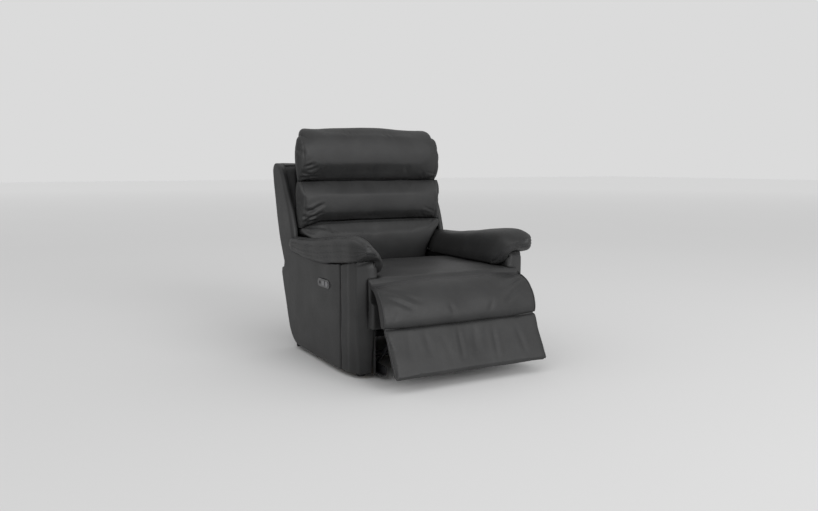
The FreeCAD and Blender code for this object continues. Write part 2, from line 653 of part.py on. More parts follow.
def seat_springs():
    """Zigzag springs from the front rail to the rear rail, on top of the frame."""
    shapes = []
    height = sheet.frame_bottom + sheet.rail_height + sheet.spring_wire / 2
    start, end = sheet.seat_front + sheet.spring_inset, sheet.seat_rear - sheet.spring_inset
    count, turns = int(sheet.spring_count), int(sheet.spring_turns)
    step = (end - start) / turns
    for number in range(count):
        middle = (number - (count - 1) / 2) * sheet.spring_pitch
        bends = [Vector(middle + sheet.spring_swing * (-1) ** turn, start + (turn + 0.5) * step, height)
                 for turn in range(turns)]
        points = [Vector(middle, start, height)] + bends + [Vector(middle, end, height)]
        for a, b in zip(points, points[1:]):
            shapes.append(bar_between(a, b, sheet.spring_wire / 2))
    return feature("seat_springs", fused(shapes))


def bar_between(a, b, radius):
    run = b - a
    bar = Part.makeCylinder(radius, run.Length, a, run)
    return bar.fuse(Part.makeSphere(radius, b))


def fused(shapes):
    return shapes[0].multiFuse(shapes[1:]).removeSplitter()


def seat_cushion():
    corners = [("seat_front + 2", "seat_bottom"), ("seat_rear", "seat_bottom"),
               ("seat_rear", "seat_top"), ("seat_front + 2", "seat_top")]
    return outline_body("seat_cushion", "YZ_Plane", corners, "2 * seat_half", rounding="seat_round")


def front_lengths():
    """The three lengths, in x, of what crosses the seat's front between the hinge slots."""
    return [(-sheet.wing_half, -sheet.slot_outer), (-sheet.slot_inner, sheet.slot_inner),
            (sheet.slot_outer, sheet.wing_half)]


def seat_front_roll():
    """Foam roll round the hinge line, parted where the hinge ears pass."""
    shapes = [disc(a, b - a, hinge, sheet.roll_radius) for a, b in front_lengths()]
    return feature("seat_front_roll", Part.makeCompound(shapes))


def seat_front_border():
    top = sheet.hinge_height - sheet.roll_radius - sheet.gap
    depth = sheet.arm_front - sheet.gap - sheet.border_front
    shapes = []
    for a, b in front_lengths():
        block = Part.makeBox(b - a, depth, top - sheet.border_bottom,
                             Vector(a, sheet.border_front, sheet.border_bottom))
        shapes.append(rounded(block, sheet.border_round,
                              lambda e: at_end(e, a, b) and e.BoundBox.YLength < 1))
    return feature("seat_front_border", Part.makeCompound(shapes))


# ---- footrest mechanism ----------------------------------------------------------------------

def stud(side, place, from_layer, to_layer):
    """A staked pin: it stands on one layer's plate and passes inboard through another layer."""
    outer = layer(from_layer) + sheet.plate_thickness / 2
    end = layer(to_layer) - sheet.stud_end - sheet.stud_head
    shank = disc(on_side(side, end, outer - end), outer - end, place, sheet.pin_radius)
    head = disc(on_side(side, end, sheet.stud_head), sheet.stud_head, place, sheet.pin_radius * 1.5)
    return shank.fuse(head)


def hinge_plates():
    """Fixed plates on the seat's side rails: an ear to the chaise hinge and a lobe for the tube."""
    shapes = []
    ear, lobe = sheet.ear_radius, sheet.lobe_half
    low, high = sheet.frame_bottom, sheet.frame_bottom + sheet.rail_height
    corners = [(sheet.plate_front, low), (tube[0] - lobe, tube[1]), (tube[0] + lobe, tube[1]),
               (sheet.plate_rear, low), (sheet.plate_rear, high),
               (sheet.seat_front - 2 * sheet.gap, high + sheet.gap),
               (hinge[0] + ear * 0.5, hinge[1] + ear * 0.9), (hinge[0] - ear * 0.6, hinge[1] - ear * 0.8),
               (sheet.ear_front, (low + high) / 2)]
    eyes = [(hinge, ear), (tube, lobe)]
    bores = [(tube, sheet.tube_radius + sheet.running_gap)]
    for side in SIDES:
        x = on_side(side, sheet.fixed_plate, sheet.plate_thickness)
        plate = lever(x, sheet.plate_thickness, corners, eyes, bores)
        shapes.append(plate.fuse(stud(side, hinge, 0, 1)).removeSplitter())
    return feature("hinge_plates", Part.makeCompound(shapes))


def board_flange(side, number, low, height):
    """The bent edge by which a bracket is screwed to the back of its board."""
    width, back = sheet.flange_width, sheet.board_back + sheet.bond
    return Part.makeBox(width, sheet.flange_thickness, height,
                        Vector(on_side(side, layer(number), width), back, low))


def chaise_brackets():
    """Steel arms from the hinge, down the back of the chaise board, to the knee."""
    shapes = []
    eye, thick = sheet.eye_radius, sheet.plate_thickness
    shut_upper_pin = swung(upper_pin, hinge, -sheet.chaise_rest_angle)
    back, top = sheet.board_back + sheet.bond, sheet.chaise_board_top
    corners = [(hinge[0] + eye, hinge[1]), (back + 3 * eye, top - 2 * eye),
               (back + 2.5 * eye, shut_knee[1] + 2.5 * eye), (shut_knee[0] + eye * 0.8, shut_knee[1] - 3),
               (shut_knee[0] - eye * 0.8, shut_knee[1] + 3), (back, shut_knee[1] + sheet.knee_gap - 1),
               (back, top), (hinge[0] - eye, hinge[1])]
    for side in SIDES:
        x = on_side(side, layer(1), thick)
        eyes = [(hinge, eye + sheet.gap), (shut_knee, eye), (shut_upper_pin, eye)]
        plate = lever(x, thick, corners, eyes, [(hinge, pin_gap)])
        for piece in (board_flange(side, 1, top - 1.4 * sheet.chaise_flange, sheet.chaise_flange),
                      stud(side, shut_knee, 1, 2), stud(side, shut_upper_pin, 1, 3)):
            plate = plate.fuse(piece)
        shapes.append(plate.removeSplitter())
    item = feature("chaise_brackets", Part.makeCompound(shapes))
    item.Placement = opened_chaise()


def chaise_board():
    corners = [("board_face", "knee_height + knee_gap"), ("board_back", "knee_height + knee_gap"),
               ("board_back", "chaise_board_top"), ("board_face", "chaise_board_top")]
    board = outline_body("chaise_board", "YZ_Plane", corners, "2 * board_half")
    board.Placement = opened_chaise()


def chaise_pad():
    """Pad in front of the chaise board: full belly, thin where it passes round the front roll."""
    clear = sheet.roll_radius + sheet.gap
    low, lip = sheet.knee_height + sheet.knee_gap, sheet.chaise_lip
    start = math.radians(90 - sheet.chaise_start_angle)
    rim, crown = [(hinge[0] - radius * math.cos(start), hinge[1] + radius * math.sin(start))
                  for radius in (clear, clear + sheet.chaise_cover)]
    belly = (-sheet.chaise_belly, sheet.chaise_belly_height)
    shoulder = (belly[0] + sheet.chaise_lip_rise / 2, (belly[1] + crown[1]) / 2 + sheet.chaise_lip_rise)
    points = [(sheet.board_face, low), (-lip + sheet.chaise_lip_inset, low - sheet.chaise_lip_rise / 2),
              (-lip, low + sheet.chaise_lip_rise), belly, shoulder, crown, rim,
              (sheet.board_face, sheet.chaise_board_top)]
    shape = side_solid(-sheet.wing_half, sheet.wing_half, points, [(0, 2), (2, 5)])
    shape = shape.cut(disc(-sheet.wing_half, 2 * sheet.wing_half, hinge, clear))
    long_edge = lambda e: (at_end(e, -sheet.wing_half, sheet.wing_half)
                           and e.BoundBox.YMax < sheet.board_face and e.BoundBox.ZLength > clear)
    item = feature("chaise_pad", rounded(shape, sheet.chaise_edge_round, long_edge))
    item.Placement = opened_chaise()


def footrest():
    inset = " + footrest_board_inset"
    corners = [("board_face", "footrest_bottom" + inset), ("board_back", "footrest_bottom" + inset),
               ("board_back", "knee_height - knee_gap"), ("board_face", "knee_height - knee_gap")]
    board = outline_body("footrest_board", "YZ_Plane", corners, "2 * board_half")
    board.Placement = opened_footrest()
    low, high = sheet.footrest_bottom, sheet.knee_height - sheet.knee_gap
    half, depth = sheet.wing_half, sheet.footrest_depth
    face = sheet.board_face - sheet.bond - depth
    shape = Part.makeBox(2 * half, depth, high - low, Vector(-half, face, low))
    front = lambda e: abs(e.BoundBox.YMax - face) < 0.01 and abs(e.BoundBox.YMin - face) < 0.01
    item = feature("footrest_pad", rounded(shape, sheet.pad_edge_round, front))
    item.Placement = opened_footrest()


def footrest_brackets():
    """Steel arms down the back of the footrest board, pinned at the knee and to the lower links."""
    shapes = []
    eye, thick = sheet.eye_radius, sheet.plate_thickness
    back, foot = sheet.board_back + sheet.bond, sheet.footrest_bottom + sheet.base_rail_height
    corners = [(shut_knee[0] - eye * 0.8, shut_knee[1] - 4), (shut_knee[0] + eye * 0.9, shut_knee[1] + 4),
               (back + 2.2 * eye, shut_link_pin[1] - 1.3 * eye), (back + 1.8 * eye, foot + eye),
               (back, foot), (back, shut_knee[1] - sheet.knee_gap + 1)]
    for side in SIDES:
        x = on_side(side, layer(2), thick)
        eyes = [(shut_knee, eye), (shut_link_pin, eye)]
        plate = lever(x, thick, corners, eyes, [(shut_knee, pin_gap)])
        for piece in (board_flange(side, 2, foot + eye, sheet.footrest_flange),
                      stud(side, shut_link_pin, 2, 3)):
            plate = plate.fuse(piece)
        shapes.append(plate.removeSplitter())
    item = feature("footrest_brackets", Part.makeCompound(shapes))
    item.Placement = opened_footrest()


def drive_tube():
    """Cross tube with a bell crank welded on near each end and two slotted levers in the middle."""
    half = sheet.fixed_plate + sheet.plate_thickness + sheet.gap
    bore = sheet.tube_radius - sheet.tube_wall
    shape = disc(-half, 2 * half, tube, sheet.tube_radius).cut(disc(-half, 2 * half, tube, bore))
    core = disc(-half, 2 * half, tube, sheet.tube_radius - sheet.tube_wall / 2)
    hub = sheet.tube_radius + sheet.hub_wall
    for side in SIDES:
        x = on_side(side, layer(2), sheet.plate_thickness)
        eyes = [(tube, hub), (crank_pin, sheet.eye_radius), (rocker_pin, sheet.eye_radius)]
        crank = lever(x, sheet.plate_thickness, arm_corners(tube, crank_pin, sheet.eye_radius), eyes, [])
        for place in (crank_pin, rocker_pin):
            crank = crank.fuse(stud(side, place, 2, 3))
        shape = shape.fuse(crank.cut(core))
    near, far = [swung((tube[0], tube[1] - reach), tube, -sheet.lever_mid_angle)
                 for reach in (sheet.slot_start, sheet.slot_end)]
    slot_half, thick = sheet.lever_slot / 2, sheet.lever_thickness
    for side in SIDES:
        x = on_side(side, sheet.lever_inner, thick)
        plate = lever(x, thick, arm_corners(tube, far, sheet.lever_half),
                      [(tube, hub), (far, sheet.lever_half)], [(near, slot_half), (far, slot_half)])
        slot = side_solid(x - 1, x + thick + 1, arm_corners(near, far, slot_half))
        shape = shape.fuse(plate.cut(slot).cut(core))
    return feature("drive_tube", shape.removeSplitter())


def links(label, a, b, loose_end):
    """A flat bar each side from pivot a to pivot b, with a looser bore at its far end."""
    eye, thick = sheet.eye_radius, sheet.plate_thickness
    shapes = []
    for side in SIDES:
        x = on_side(side, layer(3), thick)
        bores = [(a, pin_gap), (b, sheet.pin_radius + loose_end)]
        shapes.append(lever(x, thick, arm_corners(a, b, eye * 0.8), [(a, eye), (b, eye)], bores))
    return feature(label, Part.makeCompound(shapes))


# ---- actuator --------------------------------------------------------------------------------

def actuator():
    half = "rail_width / 2"
    box("actuator_rail", ("-" + half, half), ("actuator_rail_front", "gearbox_front"),
        ("rail_bottom", "rail_bottom + rail_depth"))
    box("gearbox", ("-gearbox_half", "gearbox_half"), ("gearbox_front", "gearbox_front + gearbox_length"),
        ("rail_bottom - gearbox_drop", "gearbox_top"))
    motor = keep("motor", doc.addObject("Part::Cylinder", "motor"))
    motor.setExpression("Radius", bound("motor_radius"))
    motor.setExpression("Height", bound("motor_length"))
    place = Vector(0, value("gearbox_front + gearbox_length"), sheet.motor_height)
    motor.Placement = FreeCAD.Placement(place, FreeCAD.Rotation(Vector(1, 0, 0), -90))
    actuator_carriage()
    actuator_brackets()


def actuator_carriage():
    """Block that rides on the rail, with the cross pin that works in the levers' slots."""
    middle = (sheet.tube_forward + sheet.carriage_lag
              + sheet.lever_length * math.tan(math.radians(sheet.lever_mid_angle)))
    pin_height = sheet.tube_height - sheet.lever_length
    bottom = sheet.rail_bottom + sheet.carriage_lift
    half, length = sheet.carriage_half, sheet.carriage_length
    block = Part.makeBox(2 * half, length, pin_height + 2 * sheet.carriage_pin_radius - bottom,
                         Vector(-half, middle - length / 2, bottom))
    groove_half = (sheet.rail_width + sheet.gap / 2) / 2
    groove = Part.makeBox(2 * groove_half, length, sheet.rail_depth + sheet.gap / 4 - sheet.carriage_lift,
                          Vector(-groove_half, middle - length / 2, bottom))
    reach = sheet.lever_inner + sheet.lever_thickness + sheet.gap
    cross = disc(-reach, 2 * reach, (middle, pin_height), sheet.carriage_pin_radius)
    feature("actuator_carriage", block.cut(groove).fuse(cross).removeSplitter())


def actuator_brackets():
    """A block under the rail's front and an angle behind the motor, both on the cross tubes."""
    tube_top = sheet.cross_tube_height + sheet.cross_tube_radius
    half, thick = sheet.bracket_half, sheet.bracket_thickness
    weld = sheet.gap / 2
    front = Part.makeBox(2 * sheet.cross_tube_radius, half, sheet.rail_bottom - tube_top + weld,
                         Vector(-sheet.cross_tube_radius, sheet.front_cross - half / 2, tube_top - weld))
    end = sheet.gearbox_front + sheet.gearbox_length + sheet.motor_length
    upright = Part.makeBox(2 * half, thick, sheet.rail_bottom + sheet.bracket_rise - tube_top,
                           Vector(-half, end, tube_top))
    sole = Part.makeBox(2 * half, sheet.rear_cross - end, thick, Vector(-half, end, tube_top - weld))
    shapes = [front, upright.fuse(sole).removeSplitter()]
    for index, forward in enumerate((sheet.front_cross, sheet.rear_cross)):
        shapes[index] = shapes[index].cut(disc(-2 * half, 4 * half, (forward, sheet.cross_tube_height),
                                               sheet.cross_tube_radius))
    feature("actuator_brackets", Part.makeCompound(shapes))


def power_supply():
    """Supply box on the right arm's inner side, and its low-voltage inlet in the rear panel."""
    box("power_supply", ("-arm_inner", "-arm_inner + supply_height"),
        ("supply_front", "supply_front + supply_length"),
        ("supply_bottom", "supply_bottom + supply_width"))
    inlet = keep("power_inlet", doc.addObject("Part::Box", "power_inlet"))
    inlet.setExpression("Length", bound("inlet_width - 2 * bond"))
    inlet.setExpression("Width", bound("inlet_depth"))
    inlet.setExpression("Height", bound("inlet_size_up - 2 * bond"))
    lean = FreeCAD.Rotation(Vector(1, 0, 0), -sheet.rear_panel_tilt)
    up_slope = value("inlet_height - rear_panel_bottom") / math.cos(math.radians(sheet.rear_panel_tilt))
    local = Vector(-sheet.inlet_place + sheet.bond, sheet.inlet_proud - sheet.inlet_depth,
                   up_slope + sheet.bond)
    inlet.Placement = FreeCAD.Placement(rear_panel_origin() + lean.multVec(local), lean)


# ---- back ------------------------------------------------------------------------------------

def back_plane(z):
    """Front of the back frame at a height."""
    return sheet.back_plane + (z - sheet.back_plane_height) * math.tan(math.radians(sheet.back_tilt))


def leaning(item, x, lift, height):
    """Set a body on the back's plane: x, thickness behind the plane, height."""
    base = Vector(x, back_plane(height) + lift, height)
    item.Placement = FreeCAD.Placement(base, FreeCAD.Rotation(Vector(1, 0, 0), -sheet.back_tilt))


def back_frame():
    length = (sheet.stile_top - sheet.stile_bottom) / math.cos(math.radians(sheet.back_tilt))
    stiles = []
    for side in SIDES:
        x = on_side(side, sheet.stile_half - sheet.stile_width, sheet.stile_width)
        stile = Part.makeBox(sheet.stile_width, sheet.back_frame_thickness, length)
        leaning(stile, x, 0, sheet.stile_bottom)
        stiles.append(stile)
    feature("back_stiles", Part.makeCompound(stiles))
    start = "-(stile_half - stile_width)"
    for label, low in (("back_bottom_rail", "stile_bottom"),
                       ("back_top_rail", "stile_top - back_rail_height")):
        rail = keep(label, doc.addObject("Part::Box", label))
        rail.setExpression("Length", bound("2 * (stile_half - stile_width)"))
        rail.setExpression("Width", bound("back_frame_thickness"))
        rail.setExpression("Height", bound("back_rail_height"))
        leaning(rail, value(start), 0, value(low))


def back_webbing():
    shapes = []
    low, high = sheet.stile_bottom + sheet.back_rail_height, sheet.stile_top - sheet.back_rail_height
    count = int(sheet.webbing_count)
    pitch = (high - low) / count
    half = sheet.stile_half - sheet.webbing_lap
    for number in range(count):
        height = low + (number + 0.5) * pitch - sheet.webbing_width / 2
        strap = Part.makeBox(2 * half, sheet.webbing_thickness, sheet.webbing_width)
        slant = math.cos(math.radians(sheet.back_tilt))
        leaning(strap, -half, -sheet.webbing_thickness / slant, height)
        shapes.append(strap)
    return feature("back_webbing", Part.makeCompound(shapes))


def wing_outline():
    """Side view of a back wing: broad at the arm, narrow at its rounded top corner."""
    over_pad = sheet.pad_rear_height + sheet.wing_over_pad
    behind_pad = sheet.pad_rear + sheet.wing_over_pad
    over_shoulder = sheet.arm_shoulder_height + sheet.wing_over_shoulder
    top, top_rear = sheet.wing_top, sheet.wing_top_rear
    front_top = (sheet.wing_front_top, sheet.wing_front_top_height)
    front = (sheet.wing_front, over_pad + sheet.wing_front_rise)
    low_rear = (sheet.wing_low_rear, sheet.wing_low_rear_height)
    bow, front_bow = sheet.wing_bow, sheet.wing_front_bow
    return [(behind_pad, over_shoulder), (behind_pad + front_bow * 0.7, over_shoulder + 2 * bow),
            low_rear,
            ((low_rear[0] + top_rear) / 2 + bow * 0.5, (low_rear[1] + sheet.wing_top_rear_height) / 2),
            (top_rear, sheet.wing_top_rear_height), (top_rear - bow, top - 1.5 * bow),
            (top_rear - 4 * bow, top), (front_top[0] + 6 * bow, top - bow / 2), front_top,
            ((front[0] + front_top[0]) / 2 - front_bow, (front[1] + front_top[1]) / 2),
            front, (front[0] + bow, over_pad), (behind_pad, over_pad)]


def back_wings():
    low = wing_outer - sheet.wing_thickness
    for side in SIDES:
        shape = side_solid(low, wing_outer, wing_outline(), [(1, 4), (4, 6), (7, 10)])
        feature("back_wing_" + side, placed_on(side, shape))


def rear_line(z):
    """Outer face of the rear panel, seen from the side, at a height."""
    low = sheet.back_bottom + 5 * sheet.gap
    frame_rear = back_plane(low) + sheet.back_frame_thickness
    points = [(low, frame_rear + sheet.rear_panel_gap + sheet.rear_panel_thickness),
              (sheet.wing_low_rear_height, sheet.wing_low_rear + 4 * sheet.gap),
              (sheet.wing_top_rear_height, sheet.rear_panel_crown)]
    if z > sheet.wing_low_rear_height:
        points = points[1:]
    rise = (z - points[0][0]) / (points[1][0] - points[0][0])
    return points[0][1] + rise * (points[1][1] - points[0][1])


def back_rear_panel():
    """Crowned rear panel between the wings, narrowed below so that it swings between the arms."""
    low, top = sheet.back_bottom + 5 * sheet.gap, sheet.wing_top
    waist = sheet.arm_shoulder_height + sheet.wing_over_shoulder + 6 * sheet.gap
    middle, high = sheet.wing_low_rear_height, sheet.wing_top_rear_height
    swell = sheet.wing_bow / 2
    heights = [low, (low + middle) / 2, middle, middle + (high - middle) / 3,
               middle + (high - middle) * 2 / 3, high]
    outer = [(rear_line(z) + (swell if middle < z < high else 0), z) for z in heights]
    outer.append((sheet.rear_panel_crown - sheet.rear_panel_lip, top))
    inner = [(y - sheet.rear_panel_thickness, z) for y, z in reversed(outer)]
    half = wing_outer - sheet.wing_thickness - sheet.gap
    count = len(outer)
    shape = side_solid(-half, half, outer + inner, [(0, count - 2), (count, 2 * count - 1)])
    narrow = sheet.arm_inner - sheet.rear_swing_gap
    return feature("back_rear_panel", narrowed(shape, narrow, waist))


def narrowed(shape, half, height):
    """Take away what lies outboard of half on each side, below a height."""
    wide = sheet.pad_outer - half
    for start in (half, -half - wide):
        shape = shape.cut(Part.makeBox(wide, 2 * sheet.pad_rear, height, Vector(start, 0, 0)))
    return shape


def cushion(front, low, high):
    """A back cushion: crowned front between two seams, straight where it lies on the webbing."""
    rear = -sheet.webbing_thickness - sheet.cushion_clearance
    rear_edge = [(back_plane(z) + rear, z) for z in (low[1], high[1])]
    half = sheet.cushion_half
    shape = side_solid(-half, half, [rear_edge[0], low] + front + [high, rear_edge[1]],
                       [(1, len(front) + 2)])
    belly = back_plane(low[1]) - sheet.cushion_bulge * 2
    ends = lambda e: at_end(e, -half, half) and e.BoundBox.YMin < belly and e.Length > sheet.seam_low / 5
    return rounded(shape, sheet.cushion_side_round, ends)


def back_cushions():
    gap, bulge = sheet.seam_gap / 2, sheet.cushion_bulge
    seam_low, seam_high = sheet.seam_low, sheet.seam_high
    front = sheet.lumbar_front
    shape = cushion([(front + bulge * 0.25, seam_low + bulge), (front, (seam_low + seam_high) / 2),
                     (front + bulge * 0.3, seam_high - bulge)],
                    (sheet.seam_low_place, seam_low + gap), (sheet.seam_high_place, seam_high - gap))
    feature("lumbar_cushion", shape)
    front = sheet.lower_front
    shape = cushion([(front, sheet.seat_top - bulge * 0.6), (front, sheet.seat_top + bulge * 2.4),
                     (front + bulge * 0.3, seam_low - bulge * 1.2)],
                    (front + bulge * 0.3, sheet.back_bottom), (sheet.seam_low_place, seam_low - gap))
    feature("lower_back_cushion", narrowed(shape, sheet.waist_half, sheet.waist_height).removeSplitter())
    feature("head_cushion", head_cushion())


def head_cushion():
    """Tall pillow over the top of the back frame."""
    low, top = sheet.seam_high + sheet.seam_gap / 2, sheet.head_top
    height = top - low
    front, rear, crest = sheet.head_front, sheet.head_rear, sheet.head_crest
    lower_rear = back_plane(low) - sheet.webbing_thickness - sheet.cushion_clearance
    over_frame = sheet.stile_top + 8 * sheet.gap
    bulge = sheet.cushion_bulge
    points = [(lower_rear, low), (sheet.seam_high_place, low), (front + bulge * 0.3, low + height * 0.17),
              (front, low + height * 0.44), (front + bulge / 2, low + height * 0.75),
              (crest - bulge * 1.2, low + height * 0.97), (crest, top),
              (crest + bulge * 1.3, low + height * 0.93), (rear - bulge * 0.25, low + height * 0.71),
              (rear, over_frame), (back_plane(over_frame) - sheet.cushion_clearance * 4, over_frame)]
    half = sheet.head_half
    shape = side_solid(-half, half, points, [(1, 9)])
    ends = lambda e: at_end(e, -half, half) and e.Length > height * 0.8
    return rounded(shape, min(sheet.head_round, height / 6), ends)


def back_brackets():
    """Hinge plates on the outer faces of the back's stiles."""
    low, high = [sheet.back_pivot_height + run for run in (-sheet.bracket_drop, sheet.bracket_reach)]
    inset, reach = sheet.bracket_inset, sheet.back_frame_thickness - sheet.bracket_inset
    corners = [(back_plane(low) + inset, low), (back_plane(low) + reach, low),
               (back_plane(high) + reach, high), (back_plane(high) + inset, high)]
    thick = sheet.plate_thickness
    shapes = [lever(on_side(side, sheet.stile_half, thick), thick, corners,
                    [(back_pivot, sheet.bracket_eye)], [(back_pivot, pin_gap)]) for side in SIDES]
    return feature("back_brackets", Part.makeCompound(shapes))


def back_hinge_pins():
    """Pins from the arm's rear posts through the back's hinge plates."""
    low = sheet.stile_half + sheet.bond
    reach = sheet.arm_inner + sheet.board_thickness + sheet.gap / 2 - low
    shapes = [disc(on_side(side, low, reach), reach, back_pivot, sheet.pin_radius) for side in SIDES]
    return feature("back_hinge_pins", Part.makeCompound(shapes))


# ---- assembly --------------------------------------------------------------------------------

def build():
    floor_glides()
    for side in SIDES:
        arm_outer_panel(side)
        arm_front_panel(side)
        arm_inner_panel(side)
        arm_rear_post(side)
        arm_pad(side)
    arm_top_boards()
    arm_base_rails()
    floor_runners()
    control_bezel()
    control_buttons()
    usb_socket()
    rear_base_panel()
    cross_tube("front_cross_tube", "arm_inner", "front_cross", "cross_tube_height", "cross_tube_radius")
    cross_tube("rear_cross_tube", "arm_inner", "rear_cross", "cross_tube_height", "cross_tube_radius")
    seat_frame()
    seat_springs()
    seat_cushion()
    seat_front_roll()
    seat_front_border()
    hinge_plates()
    chaise_brackets()
    chaise_board()
    chaise_pad()
    footrest()
    footrest_brackets()
    drive_tube()
    links("lower_links", crank_pin, link_pin, sheet.loose_gap)
    links("upper_links", rocker_pin, upper_pin, sheet.loose_gap)
    actuator()
    power_supply()
    back_frame()
    back_webbing()
    back_wings()
    back_rear_panel()
    back_cushions()
    back_brackets()
    back_hinge_pins()


def write_nodes():
    doc.recompute()
    for item in doc.Objects:
        if {"Invalid", "Error"} & set(item.State):
            raise RuntimeError("%s did not recompute: %s" % (item.Name, item.State))
    for item in nodes:
        if item.Shape.isNull() or not item.Shape.isValid():
            raise RuntimeError("%s has no valid shape" % item.Label)
    os.makedirs("parts", exist_ok=True)
    for item in nodes:
        item.Shape.exportStep("parts/%s.step" % item.Label)


build()
write_nodes()
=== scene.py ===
import json
import math
import random

import bpy
import numpy as np
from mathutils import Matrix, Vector, kdtree, noise
from mathutils.bvhtree import BVHTree


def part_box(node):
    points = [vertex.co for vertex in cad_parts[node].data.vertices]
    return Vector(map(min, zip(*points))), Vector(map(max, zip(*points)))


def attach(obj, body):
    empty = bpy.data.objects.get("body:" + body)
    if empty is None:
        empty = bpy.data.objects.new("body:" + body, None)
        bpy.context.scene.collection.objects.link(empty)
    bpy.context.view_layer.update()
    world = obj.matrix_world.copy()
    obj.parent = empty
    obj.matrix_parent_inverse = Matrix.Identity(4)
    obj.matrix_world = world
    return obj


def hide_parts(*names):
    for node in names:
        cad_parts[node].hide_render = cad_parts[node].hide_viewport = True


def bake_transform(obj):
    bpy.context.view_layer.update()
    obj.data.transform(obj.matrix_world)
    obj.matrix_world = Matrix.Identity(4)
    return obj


# Leather power recliner.  Metres, +Z up, the sitter faces -Y.  "right" is the sitter's, at -X.

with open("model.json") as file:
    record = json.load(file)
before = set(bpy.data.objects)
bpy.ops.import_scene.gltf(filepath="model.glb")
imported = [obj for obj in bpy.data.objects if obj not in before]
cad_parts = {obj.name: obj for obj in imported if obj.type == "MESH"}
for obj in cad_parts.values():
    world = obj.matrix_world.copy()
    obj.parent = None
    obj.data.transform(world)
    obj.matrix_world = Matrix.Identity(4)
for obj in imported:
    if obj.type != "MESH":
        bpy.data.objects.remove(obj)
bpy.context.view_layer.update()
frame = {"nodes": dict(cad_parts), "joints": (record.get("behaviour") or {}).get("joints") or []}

MM = 0.001
SIDES = {"right": -1, "left": 1}
scene = bpy.context.scene


# ---- meshes ----

def mesh_piece(name, vertices, faces):
    """A new piece from its vertices and faces."""
    mesh = bpy.data.meshes.new(name)
    mesh.from_pydata([tuple(float(n) for n in vertex) for vertex in vertices], [], faces)
    mesh.update()
    piece = bpy.data.objects.new(name, mesh)
    scene.collection.objects.link(piece)
    return piece


def shell(name, rings):
    """A closed skin over a row of closed rings with equal point counts, its two ends filled."""
    count, last = len(rings[0]), (len(rings) - 1) * len(rings[0])
    vertices = [point for ring in rings for point in ring]
    faces = []
    for start in range(0, last, count):
        for index in range(count):
            after = (index + 1) % count
            faces.append((start + index, start + after, start + count + after, start + count + index))
    faces.append(tuple(reversed(range(count))))
    faces.append(tuple(range(last, last + count)))
    return mesh_piece(name, vertices, faces)


def copy_of(name, node):
    """A new piece that starts from a CAD node's solid."""
    piece = bpy.data.objects.new(name, frame["nodes"][node].data.copy())
    piece.data.materials.clear()
    scene.collection.objects.link(piece)
    return piece


def join(name, pieces):
    """Several pieces as one mesh."""
    vertices, faces = [], []
    for piece in pieces:
        start = len(vertices)
        vertices += [vertex.co.copy() for vertex in piece.data.vertices]
        faces += [tuple(start + index for index in face.vertices) for face in piece.data.polygons]
        bpy.data.objects.remove(piece)
    return mesh_piece(name, vertices, faces)


def bake(piece):
    """Applies the piece's modifiers to its mesh."""
    graph = bpy.context.evaluated_depsgraph_get()
    made = bpy.data.meshes.new_from_object(piece.evaluated_get(graph))
    piece.modifiers.clear()
    piece.data = made
    piece.data.shade_smooth()


def modify(piece, kind, **values):
    """Adds a modifier with its settings."""
    modifier = piece.modifiers.new(kind.lower(), kind)
    for name, value in values.items():
        setattr(modifier, name, value)


def remesh(piece, size, smoothing):
    """Even small faces all over, with the edges rounded off by the smoothing."""
    modify(piece, "REMESH", mode="VOXEL", voxel_size=size)
    modify(piece, "SMOOTH", factor=0.5, iterations=smoothing)
    bake(piece)


def subdivide(piece):
    """Splits every face in four and rounds the result."""
    modify(piece, "SUBSURF", levels=1)
    bake(piece)


def points_of(piece):
    """The piece's vertices as rows of x, y and z."""
    points = np.empty(len(piece.data.vertices) * 3)
    piece.data.vertices.foreach_get("co", points)
    return points.reshape(-1, 3)


def normals_of(piece):
    """The direction in which the skin faces at each vertex."""
    normals = np.empty(len(piece.data.vertices) * 3)
    piece.data.vertices.foreach_get("normal", normals)
    return normals.reshape(-1, 3)


def place_points(piece, points):
    """Puts the piece's vertices at the given places."""
    piece.data.vertices.foreach_set("co", points.ravel())
    piece.data.update()


def push(piece, amounts):
    """Moves each point along its normal, by one amount or by an amount for each point."""
    amounts = np.broadcast_to(amounts, len(piece.data.vertices))
    place_points(piece, points_of(piece) + normals_of(piece) * amounts[:, None])


def fit(piece, low, high):
    """Stretches the piece along each axis so that it just fills a box."""
    points = points_of(piece)
    start, end = points.min(axis=0), points.max(axis=0)
    place_points(piece, np.array(low) + (points - start) / (end - start) * (np.array(high) - np.array(low)))


def between(low, high, values):
    """0 up to low, 1 from high on, and a smooth step between."""
    share = np.clip((values - low) / (high - low), 0, 1)
    return share * share * (3 - 2 * share)


def lengths(path):
    """How far along a path each of its points is."""
    return np.concatenate([[0], np.cumsum(np.linalg.norm(np.diff(path, axis=0), axis=1))])


def smooth_run(points, count, closed=False):
    """Evenly spaced points on a smooth run through the given ones."""
    rows = [np.array(point, float) for point in points]
    total, fine = len(rows), []
    steps = np.linspace(0, 1, 16, endpoint=False)
    inside = lambda index: index % total if closed else min(max(index, 0), total - 1)
    for index in range(total if closed else total - 1):
        a, b, c, d = (rows[inside(index + shift)] for shift in (-1, 0, 1, 2))
        for t in steps:
            fine.append(0.5 * (2 * b + (c - a) * t + (2 * a - 5 * b + 4 * c - d) * t ** 2
                               + (3 * b - a - 3 * c + d) * t ** 3))
    fine.append(rows[0] if closed else rows[-1])
    fine, run = np.array(fine), lengths(fine)
    places = np.linspace(0, run[-1], count, endpoint=not closed)
    return np.column_stack([np.interp(places, run, column) for column in fine.T])


def rounding(across, up):
    """Which points lie past both edges of a square corner, and how far in they come to round it."""
    corner = (across > 0) & (up > 0)
    return corner, (np.maximum(across, up) / np.maximum(np.hypot(across, up), 1e-6))[corner]


